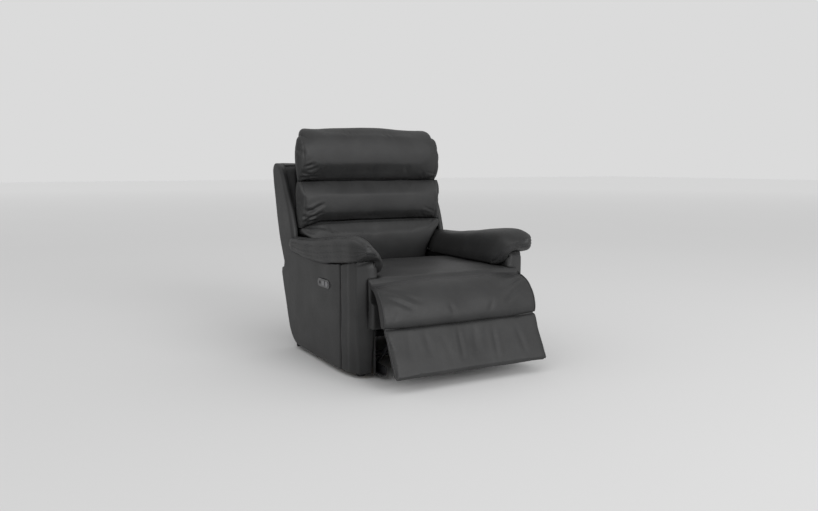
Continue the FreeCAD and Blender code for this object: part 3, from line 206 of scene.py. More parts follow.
def offsets(across, up, rows):
    """Points given as millimetres from a corner."""
    return [(across + a * MM, up + b * MM) for a, b in rows]


def curve_value(table, place):
    """A smooth value read from a table of (place, value) rows."""
    places, values = zip(*sorted(table))
    line = smooth_run(list(zip(places, values)), 200)
    return float(np.interp(place, line[:, 0], line[:, 1]))


# ---- padding, seams and folds ----

CLOTH_FRAMES = 20


def blow_up(piece, cap, pressure=4.0):
    """Cloth under pressure from inside; no point ends further than cap from where it began."""
    start = points_of(piece)
    cloth = piece.modifiers.new("cloth", "CLOTH")
    settings = cloth.settings
    settings.quality = 4
    settings.mass = 0.3
    settings.use_pressure = True
    settings.uniform_pressure_force = pressure
    settings.effector_weights.gravity = 0
    cloth.point_cache.frame_start, cloth.point_cache.frame_end = 1, CLOTH_FRAMES
    for number in range(1, CLOTH_FRAMES + 1):
        scene.frame_set(number)
    graph = bpy.context.evaluated_depsgraph_get()
    blown = piece.evaluated_get(graph).to_mesh()
    end = np.empty(len(blown.vertices) * 3)
    blown.vertices.foreach_get("co", end)
    piece.modifiers.clear()
    scene.frame_set(1)
    moved = end.reshape(-1, 3) - start
    far = np.linalg.norm(moved, axis=1, keepdims=True)
    place_points(piece, start + moved * np.minimum(1, cap / np.maximum(far, 1e-9)))


def surface_of(piece):
    """The piece's skin, ready for rays and nearest points."""
    return BVHTree.FromPolygons([vertex.co for vertex in piece.data.vertices],
                                [face.vertices for face in piece.data.polygons])


def cast(surface, places, towards):
    """Where straight lines from the places first meet a surface."""
    hits = [surface.ray_cast(Vector(place), Vector(towards))[0] for place in places]
    return [np.array(hit) for hit in hits if hit is not None]


def nearest_on(path, points):
    """How far each point lies from the path, and how far along the path it is."""
    tree = kdtree.KDTree(len(path))
    for index, place in enumerate(path):
        tree.insert(place, index)
    tree.balance()
    run = lengths(path)
    found = [tree.find(point)[1:] for point in points]
    return np.array([away for _, away in found]), run[[index for index, _ in found]], run[-1]


def draw_in(piece, path, depth, width):
    """A seam's line drawn into the padding."""
    away = nearest_on(path, points_of(piece))[0]
    push(piece, -depth * np.exp(-(away / width) ** 2))


def gather(piece, path, count, reach, depth, seed):
    """Short folds that run off a seam, unevenly spaced, each with its own length."""
    chance = random.Random(seed)
    away, place, length = nearest_on(path, points_of(piece))
    total = np.zeros(len(away))
    for number in range(count):
        middle = length * (number + chance.uniform(0.1, 0.9)) / count
        strength, half = depth * chance.uniform(0.3, 1), chance.uniform(5, 11) * MM
        run = reach * chance.uniform(0.5, 1.3)
        total -= strength * np.exp(-((place - middle) / half) ** 2 - (away / run) ** 2)
    push(piece, total)


def fold(piece, start, end, depth, width):
    """One soft fold with a low ridge beside it, fading out at both ends."""
    points = points_of(piece)
    run = end - start
    share = np.clip((points - start) @ run / (run @ run), 0, 1)
    away = np.linalg.norm(points - start - share[:, None] * run, axis=1)
    fade = np.sqrt(np.sin(math.pi * np.clip(share, 0.03, 0.97)))
    dip = np.exp(-(away / width) ** 2) - 0.35 * np.exp(-((away - 2.2 * width) / width) ** 2)
    push(piece, -depth * fade * dip)


def fold_near(piece, surface, start, end, depth, width):
    """A fold between the points of a surface that lie nearest to two places."""
    start, end = (np.array(surface.find_nearest(place)[0]) for place in (start, end))
    fold(piece, start, end, depth, width)


def soften(piece, height, size, seed):
    """Slow unevenness, as leather has over foam."""
    offset = Vector((seed, 2 * seed, 3 * seed))
    push(piece, np.array([height * noise.noise(Vector(point) / size + offset)
                          for point in points_of(piece)]))


def tube(name, path, radius):
    """A closed round tube along a path, such as piping."""
    rings, path = [], [Vector(place) for place in path]
    across = Vector((0.3, 0.2, 1)).normalized()
    for index, place in enumerate(path):
        ahead = (path[min(index + 1, len(path) - 1)] - path[max(index - 1, 0)]).normalized()
        first = ahead.cross(across).normalized()
        second = ahead.cross(first)
        across = -second
        rings.append([place + radius * (first * math.cos(turn) + second * math.sin(turn))
                      for turn in np.linspace(0, 2 * math.pi, 8, endpoint=False)])
    piece = shell(name, rings)
    piece.data.shade_smooth()
    return piece


def stitches(name, piece, path, pitch=7 * MM, length=4.6 * MM, thick=0.8 * MM):
    """A row of thread stitches that lie on a piece along a path."""
    surface = surface_of(piece)
    run = lengths(path)
    centres = np.arange(pitch, run[-1] - pitch, pitch)
    at = lambda place: Vector([np.interp(place, run, column) for column in np.array(path).T])
    vertices, faces = [], []
    profile = [(-0.5, 0.25), (-0.36, 0.85), (0, 1), (0.36, 0.85), (0.5, 0.25)]
    for centre in centres:
        place, normal = surface.find_nearest(at(centre))[:2]
        ahead = (at(centre + length / 2) - at(centre - length / 2)).normalized()
        across = ahead.cross(normal).normalized()
        start = len(vertices)
        for share, bulge in profile:
            for turn in range(5):
                angle = 2 * math.pi * turn / 5
                side = across * math.cos(angle) * thick * bulge
                up = normal * (math.sin(angle) * 0.6 * thick * bulge + 0.2 * thick)
                vertices.append(place + ahead * share * length + side + up)
        for ring in range(len(profile) - 1):
            for turn in range(5):
                a, b = start + ring * 5 + turn, start + ring * 5 + (turn + 1) % 5
                faces.append((a, b, b + 5, a + 5))
        faces.append(tuple(start + turn for turn in reversed(range(5))))
        faces.append(tuple(start + 5 * (len(profile) - 1) + turn for turn in range(5)))
    row = mesh_piece(name, vertices, faces)
    row.data.shade_smooth()
    row.data.materials.append(MATERIALS["thread"])
    return row


# ---- materials ----

def feed(tree, socket, value):
    """Gives an input a plain value, or a link where the value is another node's output."""
    if isinstance(value, bpy.types.NodeSocket):
        tree.links.new(value, socket)
    else:
        socket.default_value = value


def adder(tree):
    """A function that adds a node to a tree, with its inputs and settings."""
    def add(kind, inputs=(), **settings):
        node = tree.nodes.new("ShaderNode" + kind)
        for name, value in settings.items():
            setattr(node, name, value)
        for name, value in dict(inputs).items():
            feed(tree, node.inputs[name], value)
        return node

    return add


def new_material(name):
    """A material, its object coordinates, and functions that add a node and feed the shader."""
    material = bpy.data.materials.new(name)
    material.use_nodes = True
    tree = material.node_tree
    shader, add = tree.nodes["Principled BSDF"], adder(tree)
    give = lambda name, value: feed(tree, shader.inputs[name], value)
    return material, add("TexCoord").outputs["Object"], add, give


def two_tone(add, factor, dark, light):
    """A colour that goes from dark to light with a factor."""
    ramp = add("ValToRGB", {"Fac": factor})
    for element, place, tone in zip(ramp.color_ramp.elements, (0.3, 0.7), (dark, light)):
        element.position = place
        element.color = (*tone, 1)
    return ramp.outputs["Color"]


def span(add, factor, low, high):
    """A factor from 0 to 1 stretched to a range."""
    return add("MapRange", {"Value": factor, "To Min": low, "To Max": high}).outputs["Result"]


def clouds(add, place, scale, detail, distortion=0.0):
    """Noise, from 0 to 1."""
    return add("TexNoise", {"Vector": place, "Scale": scale, "Detail": detail,
                            "Distortion": distortion}).outputs["Fac"]


def waves(add, place, scale, direction, distortion=0.0):
    """Parallel bands, from 0 to 1."""
    return add("TexWave", {"Vector": place, "Scale": scale, "Distortion": distortion},
               bands_direction=direction).outputs["Fac"]


def bumps(add, height, strength, distance, under=None, invert=False):
    """A surface normal with bumps, laid over another where one is given."""
    inputs = {"Height": height, "Strength": strength, "Distance": distance}
    if under is not None:
        inputs["Normal"] = under
    return add("Bump", inputs, invert=invert).outputs["Normal"]


def coat(name, pattern, tones, rough, fine=None, relief=(), metallic=0.0):
    """A material whose colour and roughness follow one pattern, and its bumps the same or a finer one."""
    material, place, add, give = new_material(name)
    main = pattern(add, place)
    give("Base Color", two_tone(add, main, *tones))
    give("Roughness", span(add, main, *rough))
    give("Normal", bumps(add, fine(add, place) if fine else main, *relief))
    give("Metallic", metallic)
    return material


def cloudy(*values):
    """A pattern of noise with the given scale, detail and distortion."""
    return lambda add, place: clouds(add, place, *values)


def leather():
    """Dyed grain leather: a pebbled grain, fine wrinkles, slow mottling and a painted highlight that
    lightens the convex rims.
    """
    material, place, add, give = new_material("charcoal_leather")
    edge_pointiness = add("NewGeometry").outputs["Pointiness"]
    # Painted highlight: where the pointiness rises above 0.5, on convex rims, the base colour is lightened
    # as if the rims caught the light.
    rim = add("MapRange", {"Value": edge_pointiness, "From Min": 0.5, "From Max": 0.58, "To Min": 0.0,
                           "To Max": 0.5}).outputs["Result"]
    tone = add("Math", {0: clouds(add, place, 9.0, 4.0), 1: rim}, operation="ADD").outputs[0]
    give("Base Color", two_tone(add, tone, (0.0205, 0.0206, 0.0209), (0.0305, 0.0307, 0.0310)))
    pebble = add("TexVoronoi", {"Vector": place, "Scale": 620.0, "Randomness": 1.0},
                 feature="SMOOTH_F1").outputs["Distance"]
    wrinkle = clouds(add, place, 150.0, 5.0, 0.6)
    give("Roughness", span(add, wrinkle, 0.42, 0.60))
    give("Specular IOR Level", 0.36)
    slow = bumps(add, clouds(add, place, 34.0, 3.0), 0.12, 0.004)
    fine = bumps(add, wrinkle, 0.22, 0.0008, slow)
    give("Normal", bumps(add, pebble, 0.35, 0.0005, fine, invert=True))
    return material


def thread():
    """Twisted polyester thread."""
    twist = lambda add, place: waves(add, place, 420.0, "DIAGONAL", 1.0)
    return coat("charcoal_thread", twist, ((0.05, 0.05, 0.053), (0.09, 0.09, 0.094)), (0.5, 0.7),
                relief=(0.5, 0.0003))


def enamel():
    """Black satin enamel on pressed steel, with orange peel and dusty patches."""
    return coat("black_enamel", cloudy(22.0, 6.0), ((0.022, 0.022, 0.024), (0.036, 0.036, 0.039)),
                (0.30, 0.50), cloudy(480.0, 2.0), (0.15, 0.0004), 0.35)


def plywood():
    """Birch ply: long grain with darker growth lines and small pores."""
    material, place, add, give = new_material("birch_ply")
    along = add("Mapping", {"Vector": place, "Scale": (9.0, 1.2, 9.0)}).outputs["Vector"]
    grain = clouds(add, along, 14.0, 8.0, 1.2)
    give("Base Color", two_tone(add, grain, (0.33, 0.22, 0.12), (0.56, 0.42, 0.27)))
    pore = clouds(add, along, 120.0, 3.0)
    give("Roughness", span(add, pore, 0.55, 0.8))
    give("Normal", bumps(add, pore, 0.3, 0.0006))
    return material


def plastic(name, dark, light, rough):
    """Moulded plastic with a spark-eroded texture."""
    return coat(name, cloudy(60.0, 4.0), (dark, light), rough, cloudy(1500.0, 2.0), (0.25, 0.0002))


def webbing():
    """Woven elastic straps."""
    def weave(add, place):
        threads = {0: waves(add, place, 260.0, "X"), 1: waves(add, place, 200.0, "Z")}
        return add("Math", threads, operation="MULTIPLY").outputs[0]

    return coat("woven_webbing", weave, ((0.02, 0.02, 0.022), (0.07, 0.07, 0.075)), (0.75, 0.95),
                relief=(0.6, 0.0006))


def lining():
    """Black non-woven cloth, pressed from short fibres."""
    return coat("black_lining", cloudy(900.0, 3.0, 2.0), ((0.008, 0.008, 0.009), (0.022, 0.022, 0.024)),
                (0.8, 0.98), relief=(0.4, 0.0004))


def spring_steel():
    """Drawn wire, oiled."""
    return coat("spring_wire", cloudy(240.0, 5.0), ((0.22, 0.22, 0.23), (0.4, 0.4, 0.41)), (0.28, 0.45),
                relief=(0.2, 0.0003), metallic=1.0)


MATERIALS = {
    "leather": leather(), "thread": thread(), "black_steel": enamel(), "boards": plywood(),
    "webbing_cloth": webbing(), "spring_wire": spring_steel(), "lining": lining(),
    "black_plastic": plastic("black_plastic", (0.016, 0.016, 0.017), (0.028, 0.028, 0.030), (0.35, 0.5)),
    "bezel": plastic("dark_bezel", (0.05, 0.05, 0.052), (0.07, 0.07, 0.073), (0.25, 0.36)),
    "button": plastic("button_grey", (0.13, 0.13, 0.135), (0.19, 0.19, 0.20), (0.3, 0.42)),
}

RIGID = {
    "boards": ("arm_inner_panel", "arm_rear_post", "seat_side_rail", "arm_top_boards", "arm_base_rails",
               "seat_front_rail", "seat_rear_rail", "chaise_board", "footrest_board", "back_stiles",
               "back_bottom_rail", "back_top_rail"),
    "black_steel": ("floor_runners", "front_cross_tube", "rear_cross_tube", "hinge_plates",
                    "chaise_brackets", "footrest_brackets", "drive_tube", "lower_links", "upper_links",
                    "actuator_rail", "actuator_carriage", "actuator_brackets", "motor",
                    "back_brackets", "back_hinge_pins"),
    "black_plastic": ("floor_glides", "gearbox", "power_supply", "power_inlet", "usb_socket"),
    "bezel": ("control_bezel",),
    "button": ("button_extend", "button_retract"),
    "webbing_cloth": ("back_webbing",),
    "spring_wire": ("seat_springs",),
}


def dress_frame():
    """Gives each carried-over solid its material."""
    for name, node in frame["nodes"].items():
        kind = next((kind for kind, starts in RIGID.items() if name.startswith(starts)), "leather")
        node.data.materials.clear()
        node.data.materials.append(MATERIALS[kind])


def finish_soft(piece, body, *nodes, fill=None):
    """Leather, its body and the solids that it stands for; a piece given no body is fixed to none."""
    piece.data.materials.append(MATERIALS["leather"])
    if body:
        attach(piece, body)
    if nodes:
        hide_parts(*nodes)


def ride_thread(row):
    """Fixes a row of stitches to the chair's base."""
    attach(row, "base")


def swept(name, half, profile, rim):
    """A pillow: one closed side-view profile carried across x, its two ends rounded by rim."""
    middle = np.mean(profile, axis=0)
    run = np.roll(profile, -1, axis=0) - np.roll(profile, 1, axis=0)
    run /= np.linalg.norm(run, axis=1, keepdims=True)
    inward = np.column_stack([-run[:, 1], run[:, 0]])
    if np.mean(np.sum(inward * (middle - profile), axis=1)) < 0:
        inward = -inward
    turns = np.linspace(0, math.pi / 2, 7)
    ends = [(-half + rim * (1 - math.cos(turn)), rim * (1 - math.sin(turn))) for turn in turns]
    flat = np.linspace(-half + rim, half - rim, max(3, int(2 * half / (12 * MM))))[1:-1]
    stations = ends + [(x, 0) for x in flat] + [(-x, inset) for x, inset in reversed(ends)]
    return shell(name, [[(x, y, z) for y, z in profile + inward * inset] for x, inset in stations])


# ---- back ----

def front_path(piece, half, level):
    """A level line across a piece's front, met from ahead of it."""
    places = [(x, -1.0, level) for x in np.linspace(-half, half, 160)]
    return np.array(cast(surface_of(piece), places, (0, 1, 0)))


def pillow_plan():
    """Half the width of the back's pillows from front to rear, where they narrow towards the frame."""
    front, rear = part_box("head_cushion")
    rows = [(0, -14), (14, -4), (32, 2), (56, -3), (136, -42), (186, -60), (204, -72)]
    return tuple(zip(*[(front.y + along * MM, rear.x + out * MM) for along, out in rows]))


PILLOW_PLAN = pillow_plan()


def side_of(y):
    """Half the width of the pillows at a depth."""
    return np.interp(y, *PILLOW_PLAN)


def fit_ends(piece, node):
    """Gives a pillow's ends their plan shape: a rounded front corner, then sloping in to the rear."""
    points = points_of(piece)
    low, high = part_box(node)
    steps = np.arange(low.y, high.y + 8 * MM, 8 * MM)
    rank = np.digitize(points[:, 1], steps)
    found = [(y + 4 * MM, np.abs(points[rank == number + 1, 0]).max())
             for number, y in enumerate(steps) if np.any(rank == number + 1)]
    places, reach = (np.array(column) for column in zip(*found))
    reach = np.convolve(np.pad(reach, 2, mode="edge"), np.full(5, 0.2), mode="valid")
    factor = np.clip(side_of(places) / reach, 0.82, 1.14)
    points[:, 0] *= np.interp(points[:, 1], places, factor)
    place_points(piece, points)


def round_corners(piece, radius, crown):
    """Rounds the two upper corners as seen from the front and crowns the upper edge."""
    points = points_of(piece)
    half, top = np.abs(points[:, 0]).max(), points[:, 2].max()
    across = np.abs(points[:, 0]) - (half - radius)
    up = points[:, 2] - (top - radius)
    corner, ratio = rounding(across, up)
    points[corner, 0] = np.sign(points[corner, 0]) * (half - radius + across[corner] * ratio)
    points[corner, 2] = top - radius + up[corner] * ratio
    points[:, 2] -= crown * (points[:, 0] / half) ** 2 * between(top - 3 * radius, top, points[:, 2])
    place_points(piece, points)


PILLOW_ROOM = 9 * MM
SEAM_OVERLAP = 1.2 * MM


def blown_pillow(node, top_room):
    """A back pillow blown up and fitted to its space; where it meets the next one it is pressed flat."""
    low, high = (np.array(corner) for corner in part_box(node))
    piece = copy_of(node.replace("cushion", "pillow"), node)
    remesh(piece, 7 * MM, 6)
    push(piece, -6 * MM)
    blow_up(piece, PILLOW_ROOM)
    subdivide(piece)
    fit(piece, low - (0, 0, PILLOW_ROOM), high + (0, 0, top_room))
    points = points_of(piece)
    half, middle = np.abs(points[:, 0]).max(), (low[2] + high[2]) / 2
    pressed = (points[:, 2] < middle) | (top_room > 0)
    square = 1 + 0.26 * between(half - 50 * MM, half, np.abs(points[:, 0])) * pressed
    ceiling = high[2] + SEAM_OVERLAP if top_room else np.inf
    points[:, 2] = np.clip(middle + (points[:, 2] - middle) * square, low[2] - SEAM_OVERLAP, ceiling)
    place_points(piece, points)
    fit_ends(piece, node)
    return piece


def end_seams(piece, node):
    """A seam round each end of a pillow, a little in from its side."""
    low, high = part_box(node)
    for sign in SIDES.values():
        x = sign * (side_of(low.y) - 17 * MM)
        path = cast(surface_of(piece), [(x, -1.0, z) for z in np.arange(low.z, high.z, 4 * MM)], (0, 1, 0))
        if len(path) > 4:
            draw_in(piece, np.array(path), 1.8 * MM, 4 * MM)


def head_pillow():
    """The highest pillow, with rounded upper corners and a crowned top."""
    head = blown_pillow("head_cushion", 0)
    round_corners(head, 60 * MM, 26 * MM)
    points = points_of(head)
    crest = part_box("head_cushion")[1].z + 2 * MM
    points[:, 2] += (crest - points[:, 2].max()) * between(0.9, 1.0, points[:, 2])
    place_points(head, points)
    return head


def gather_seams(piece, node, seed):
    """Gathers a pillow's leather at the seams that it shares with the pillows above and below."""
    low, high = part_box(node)
    levels = [high.z - 7 * MM] if node != "head_cushion" else []
    levels += [low.z + 7 * MM] if node != "lower_back_cushion" else []
    for level in levels:
        path = front_path(piece, high.x - 16 * MM, level)
        gather(piece, path, 20, 26 * MM, 1.3 * MM, seed + int(level * 1000))


def back():
    """The backrest: three pillows between two wings, the covers behind them and the lined boards."""
    pillows = {"head_cushion": head_pillow(), "lumbar_cushion": blown_pillow("lumbar_cushion", PILLOW_ROOM),
               "lower_back_cushion": lower_pillow()}
    for seed, (node, piece) in enumerate(pillows.items(), start=1):
        gather_seams(piece, node, seed)
        if node != "lower_back_cushion":
            end_seams(piece, node)
            pinch(piece, node, seed)
        soften(piece, 3.5 * MM, 0.13, seed)
    sag(pillows["lumbar_cushion"], pillows["lower_back_cushion"])
    for node, piece in pillows.items():
        finish_soft(piece, "backrest", node, fill=0.7)
    for side in SIDES:
        wing(side)
    top_cover()
    line_boards("backrest", ("back_bottom_rail", "back_top_rail", "back_stiles"))
    rear = copy_of("rear_cover", "back_rear_panel")
    remesh(rear, 6 * MM, 5)
    soften(rear, 3 * MM, 0.14, 6)
    finish_soft(rear, "backrest", "back_rear_panel")


def line_boards(body, nodes):
    """Black lining cloth stretched over boards that would show between the covers."""
    for node in nodes:
        lining = copy_of(node + "_lining", node)
        remesh(lining, 4 * MM, 1)
        push(lining, 1.6 * MM)
        lining.data.materials.append(MATERIALS["lining"])
        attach(lining, body)


def top_cover():
    """Leather that closes the back's top behind the head pillow."""
    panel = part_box("back_rear_panel")[1]
    ahead, behind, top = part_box("head_cushion")[1].y - 1 * MM, panel.y - 26 * MM, panel.z - 3 * MM
    middle = (ahead + behind) / 2
    rows = [*offsets(ahead, top, [(0, -14), (0, -6), (12, -2)]), (middle, top),
            *offsets(behind, top, [(-8, -2), (0, -8), (-6, -15)]), (middle, top - 13 * MM)]
    cover = swept("top_cover", panel.x - 4 * MM, smooth_run(rows, 70, closed=True), 5 * MM)
    remesh(cover, 4 * MM, 3)
    soften(cover, 2 * MM, 0.1, 15)
    finish_soft(cover, "backrest")


def lower_pillow():
    """The lowest pillow: as wide as the others at its seam, narrowing down between the arms."""
    node = "lower_back_cushion"
    low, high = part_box(node)
    top = high.z + 1.2 * MM
    ahead = [(40, 0), (25, -3), (14, -16), (5, -40), (1, -80), (3, -130), (12, -180), (26, -225), (48, -258),
             (75, -268), (95, -262)]
    profile = [*offsets(low.y, top, ahead), *offsets(high.y, high.z, [(-40, -205), (-14, -90)]),
               *offsets(high.y, top, [(-3, -5), (-14, 0)])]
    half = high.x + 2 * MM
    piece = swept("lower_back_pillow", half, smooth_run(profile, 120, closed=True), 16 * MM)
    remesh(piece, 7 * MM, 3)
    push(piece, -3 * MM)
    blow_up(piece, 7 * MM, pressure=3.0)
    subdivide(piece)
    points = points_of(piece)
    points[:, 2] = np.minimum(points[:, 2] + 4 * MM * between(high.z - 60 * MM, high.z, points[:, 2]), top)
    line = smooth_run([(low.z, 0.79), (low.z + 80 * MM, 0.80), (low.z + 150 * MM, 0.845),
                       (low.z + 200 * MM, 0.905), (high.z - 30 * MM, 0.985), (high.z, 1.01)], 100)
    points[:, 0] *= np.interp(points[:, 2], line[:, 0], line[:, 1])
    place_points(piece, points)
    return piece


def pinch(piece, node, seed):
    """Short folds that run inwards from the ends of a pillow's lower seam."""
    low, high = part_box(node)
    chance = random.Random(seed)
    surface = surface_of(piece)
    for side, count, most in (("right", 4, 5.0), ("left", 2, 1.8)):
        sign = SIDES[side]
        for number in range(count):
            x = sign * (high.x - chance.uniform(6, 40) * MM)
            z = low.z + (12 + 21 * number + chance.uniform(-8, 8)) * MM
            run = chance.uniform(45, 120) * MM
            rise = chance.uniform(-10, 34) * MM
            ends = cast(surface, [(x, -1.0, z), (x - sign * run, -1.0, z + rise)], (0, 1, 0))
            if len(ends) == 2:
                fold(piece, ends[0], ends[1], chance.uniform(0.5, 1) * most * MM, chance.uniform(5, 9) * MM)


def sag(lumbar, lower):
    """Pulls the right end of the lower seam down, as a softly filled pillow does at its corner."""
    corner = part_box("lumbar_cushion")[0]
    for piece in (lumbar, lower):
        points = points_of(piece)
        end = between(-corner.x - 122 * MM, -corner.x - 2 * MM, -points[:, 0])
        near = np.exp(-((points[:, 2] - corner.z) / (75 * MM)) ** 2)
        points[:, 2] -= 26 * MM * end * near
        place_points(piece, points)
    folds = ((lower, (4, 34, -40), (122, 8, -38), 6), (lumbar, (8, 20, 28), (102, 2, 20), 5),
             (lumbar, (6, 24, 6), (92, 6, -6), 4))
    for piece, *places, depth in folds:
        start, end = (corner + Vector(place) * MM for place in places)
        fold_near(piece, surface_of(piece), start, end, depth * MM, 7 * MM)


def wing(side):
    """Padded side of the back: a flat outer face, a crease at the front and a face behind the pillows."""
    node, sign = "back_wing_" + side, SIDES[side]
    low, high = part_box(node)
    outer = max(abs(low.x), abs(high.x))
    front = wing_line(high.z, [(-486, 337), (-400, 333), (-333, 337), (-215, 383), (-63, 472), (-24, 500),
                               (-8, 526), (0, 552)])
    rear = wing_line(high.z, [(-486, 462), (-347, 529), (-223, 571), (-60, 604), (-26, 604), (-8, 592),
                              (0, 570)])
    cap = 30 * MM
    heights = np.concatenate([np.linspace(low.z, high.z - cap, 90),
                              high.z - cap + cap * np.sin(np.linspace(0, math.pi / 2, 9))[1:]])
    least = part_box("back_stiles")[1].x + 2 * MM
    rings = []
    for z in heights:
        section = wing_section(outer, least, np.interp(z, *front), np.interp(z, *rear))
        rings.append([(sign * x, y, z) for x, y in smooth_run(section, 90, closed=True)])
    cover = shell("wing_cover_" + side, rings)
    remesh(cover, 5 * MM, 5)
    soften(cover, 2.5 * MM, 0.12, 5)
    finish_soft(cover, "backrest", node)


def wing_line(top, rows):
    """Heights and depths along one edge of the wing, from millimetres below its top."""
    return smooth_run(offsets(top, 0, rows), 200).T


def wing_section(outer, least, head, tail):
    """The wing in plan: outer face, rounded rear, and the face that closes in behind the pillows."""
    deep = min(tail - 34 * MM, max(head + 30 * MM, 524 * MM))
    nose = head + 4 * MM
    behind = np.linspace(deep, nose, 8)
    inner = [max(side_of(y) + 3 * MM, least) for y in behind]
    return [*offsets(outer, head, [(-20, -3), (-9, -3), (-1, 5), (0, 20)]), (outer, (head + tail) / 2),
            *offsets(outer, tail, [(0, -24), (-2, -9), (-11, 0), (-26, -1), (-34, -18)]),
            *zip(inner, behind), (max(inner[-1] + 4 * MM, outer - 62 * MM), nose + 2 * MM),
            (outer - 36 * MM, nose + 4 * MM)]


# ---- arms ----

def arm_panels(side):
    """An arm's covers: the side, the rounded front and the facing over the seat."""
    side_cover(side)
    front_cover(side)
    facing(side)


def side_cover(side):
    """Leather over the arm's outer panel, carried up under the pad."""
    node = "arm_outer_panel_" + side
    cover = copy_of("side_cover_" + side, node)
    remesh(cover, 5 * MM, 5)
    points = points_of(cover)
    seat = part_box("seat_cushion")[1].z
    points[:, 2] += 6 * MM * between(seat + 16 * MM, seat + 36 * MM, points[:, 2])
    place_points(cover, points)
    soften(cover, 2.5 * MM, 0.12, 7)
    finish_soft(cover, "base", node)


def front_cover(side):
    """Leather over the arm's front: it leans back towards its foot, and its inner edge steps back
    beside the seat's front border."""
    node, sign = "arm_front_panel_" + side, SIDES[side]
    low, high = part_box(node)
    inner = min(abs(low.x), abs(high.x))
    seat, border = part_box("seat_cushion")[1].z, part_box("seat_front_border")[0].z
    cover = join("front_cover_" + side, [copy_of("front_part", node), cheek(side)])
    remesh(cover, 5 * MM, 6)
    points = points_of(cover)
    foot = between(0, 1, (low.z + 250 * MM - points[:, 2]) / (250 * MM))
    ahead = between(high.y, low.y, points[:, 1])
    points[:, 1] += 24 * MM * foot * ahead
    outwards = between(inner + 3 * MM, inner + 73 * MM, np.abs(points[:, 0]))
    points[:, 0] -= sign * 10 * MM * foot * ahead * outwards
    points[:, 2] += 9 * MM * between(high.z - 60 * MM, high.z, points[:, 2])
    square_corner(points, sign, low.y + 66 * MM, inner + 30 * MM)
    groove = between(-inner - 43 * MM, -inner - 3 * MM, -np.abs(points[:, 0]))
    groove *= between(seat + 6 * MM, seat - 24 * MM, points[:, 2])
    groove *= between(border + 4 * MM, border + 79 * MM, points[:, 2])
    points[:, 1] += 14 * MM * groove * between(low.y + 60 * MM, low.y + 4 * MM, points[:, 1])
    round_edge(points, low.y + 40 * MM, high.z - 32 * MM)
    place_points(cover, points)
    soften(cover, 2.5 * MM, 0.12, 8)
    finish_soft(cover, "base", node)


def cheek(side):
    """The arm's front face carried inwards under the pad's nose, down to the seat."""
    panel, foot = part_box("arm_front_panel_" + side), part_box("seat_cushion")[1].z
    front, inner = panel[0].y, min(abs(corner.x) for corner in panel)
    rows = [(2, 0), (2, 20), (3, 38), (9, 47), (20, 46), (34, 36), (52, 24), (74, 13), (78, 2), (40, 0)]
    line = smooth_run(offsets(front, foot, rows), 60, closed=True)
    middle = line.mean(axis=0)
    rings = []
    for past, share in ((-16, 0.6), (-14, 0.8), (-9, 0.93), (-2, 1.0), (8, 1.0), (18, 0.98)):
        x = SIDES[side] * (inner + past * MM)
        rings.append([(x, *(middle + (point - middle) * share)) for point in line])
    return shell("cheek", rings)


def square_corner(points, sign, y, x):
    """Fills out the rounded upright corner at the arm's front so that it is squarer in plan."""
    across, ahead = np.abs(points[:, 0]) - x, y - points[:, 1]
    corner = (across > 0) & (ahead > 0)
    ratio = (np.hypot(across, ahead) / np.maximum(np.maximum(across, ahead), 1e-6))[corner] ** 0.55
    points[corner, 0] = sign * (x + across[corner] * ratio)
    points[corner, 1] = y - ahead[corner] * ratio


def round_edge(points, y, z):
    """Rounds the arm's upper front edge over."""
    ahead, up = y - points[:, 1], points[:, 2] - z
    corner, ratio = rounding(ahead, up)
    points[corner, 1] = y - ahead[corner] * ratio
    points[corner, 2] = z + up[corner] * ratio


def facing(side):
    """Leather over the arm's inner board, above the seat."""
    sign, node = SIDES[side], "arm_inner_panel_" + side
    cover = copy_of("inner_facing_" + side, node)
    remesh(cover, 4 * MM, 2)
    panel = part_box(node)
    front, face = panel[0].y, min(abs(corner.x) for corner in panel)
    points = points_of(cover)
    depth = np.abs(points[:, 0]) - face
    points[:, 0] = np.where(depth > 5 * MM, sign * (face - 0.3 * MM), sign * (face - 3.6 * MM))
    points[:, 1] -= 26 * MM * between(front + 50 * MM, front + 5 * MM, points[:, 1])
    place_points(cover, points)
    finish_soft(cover, "base")


def pad_section(inner, outer, top, outer_low, inner_low, slump):
    """One cross-section of the arm pad in x and z: crowned top, full side, drape over the seat."""
    wide, tall = outer - inner, top - outer_low
    root = max(outer - 110 * MM, inner + 0.14 * wide)
    lip, neck = min(26 * MM, 0.2 * wide), min(6 * MM, 0.05 * wide)
    across = lambda x, share: x + (outer - x) * share
    rise = top - slump - inner_low
    return [(inner + 3 * MM, inner_low), (inner - 1 * MM, inner_low + 0.10 * rise),
            (inner + 1 * MM, inner_low + 0.28 * rise), (across(inner, 0.07), inner_low + 0.52 * rise),
            (across(inner, 0.16), inner_low + 0.76 * rise), (across(inner, 0.27), top - slump - 0.07 * tall),
            (across(inner, 0.40), top - 0.62 * slump), (across(inner, 0.56), top - 0.2 * slump),
            (across(inner, 0.70), top), (outer - min(30 * MM, 0.2 * wide), top - 0.04 * tall),
            (outer - min(12 * MM, 0.08 * wide), top - 0.14 * tall), (outer - 2 * MM, top - 0.33 * tall),
            (outer, outer_low + 0.42 * tall), (outer - 3 * MM, outer_low + 0.17 * tall),
            (outer - 12 * MM, outer_low + 0.02 * tall), (outer - min(30 * MM, 0.3 * wide), outer_low),
            (root + lip, outer_low + 2 * MM), (root + neck, max(outer_low, inner_low) + 1 * MM),
            (root, max(inner_low, min(outer_low, inner_low + 14 * MM))),
            (root - min(10 * MM, 0.08 * wide), inner_low + 1 * MM)]


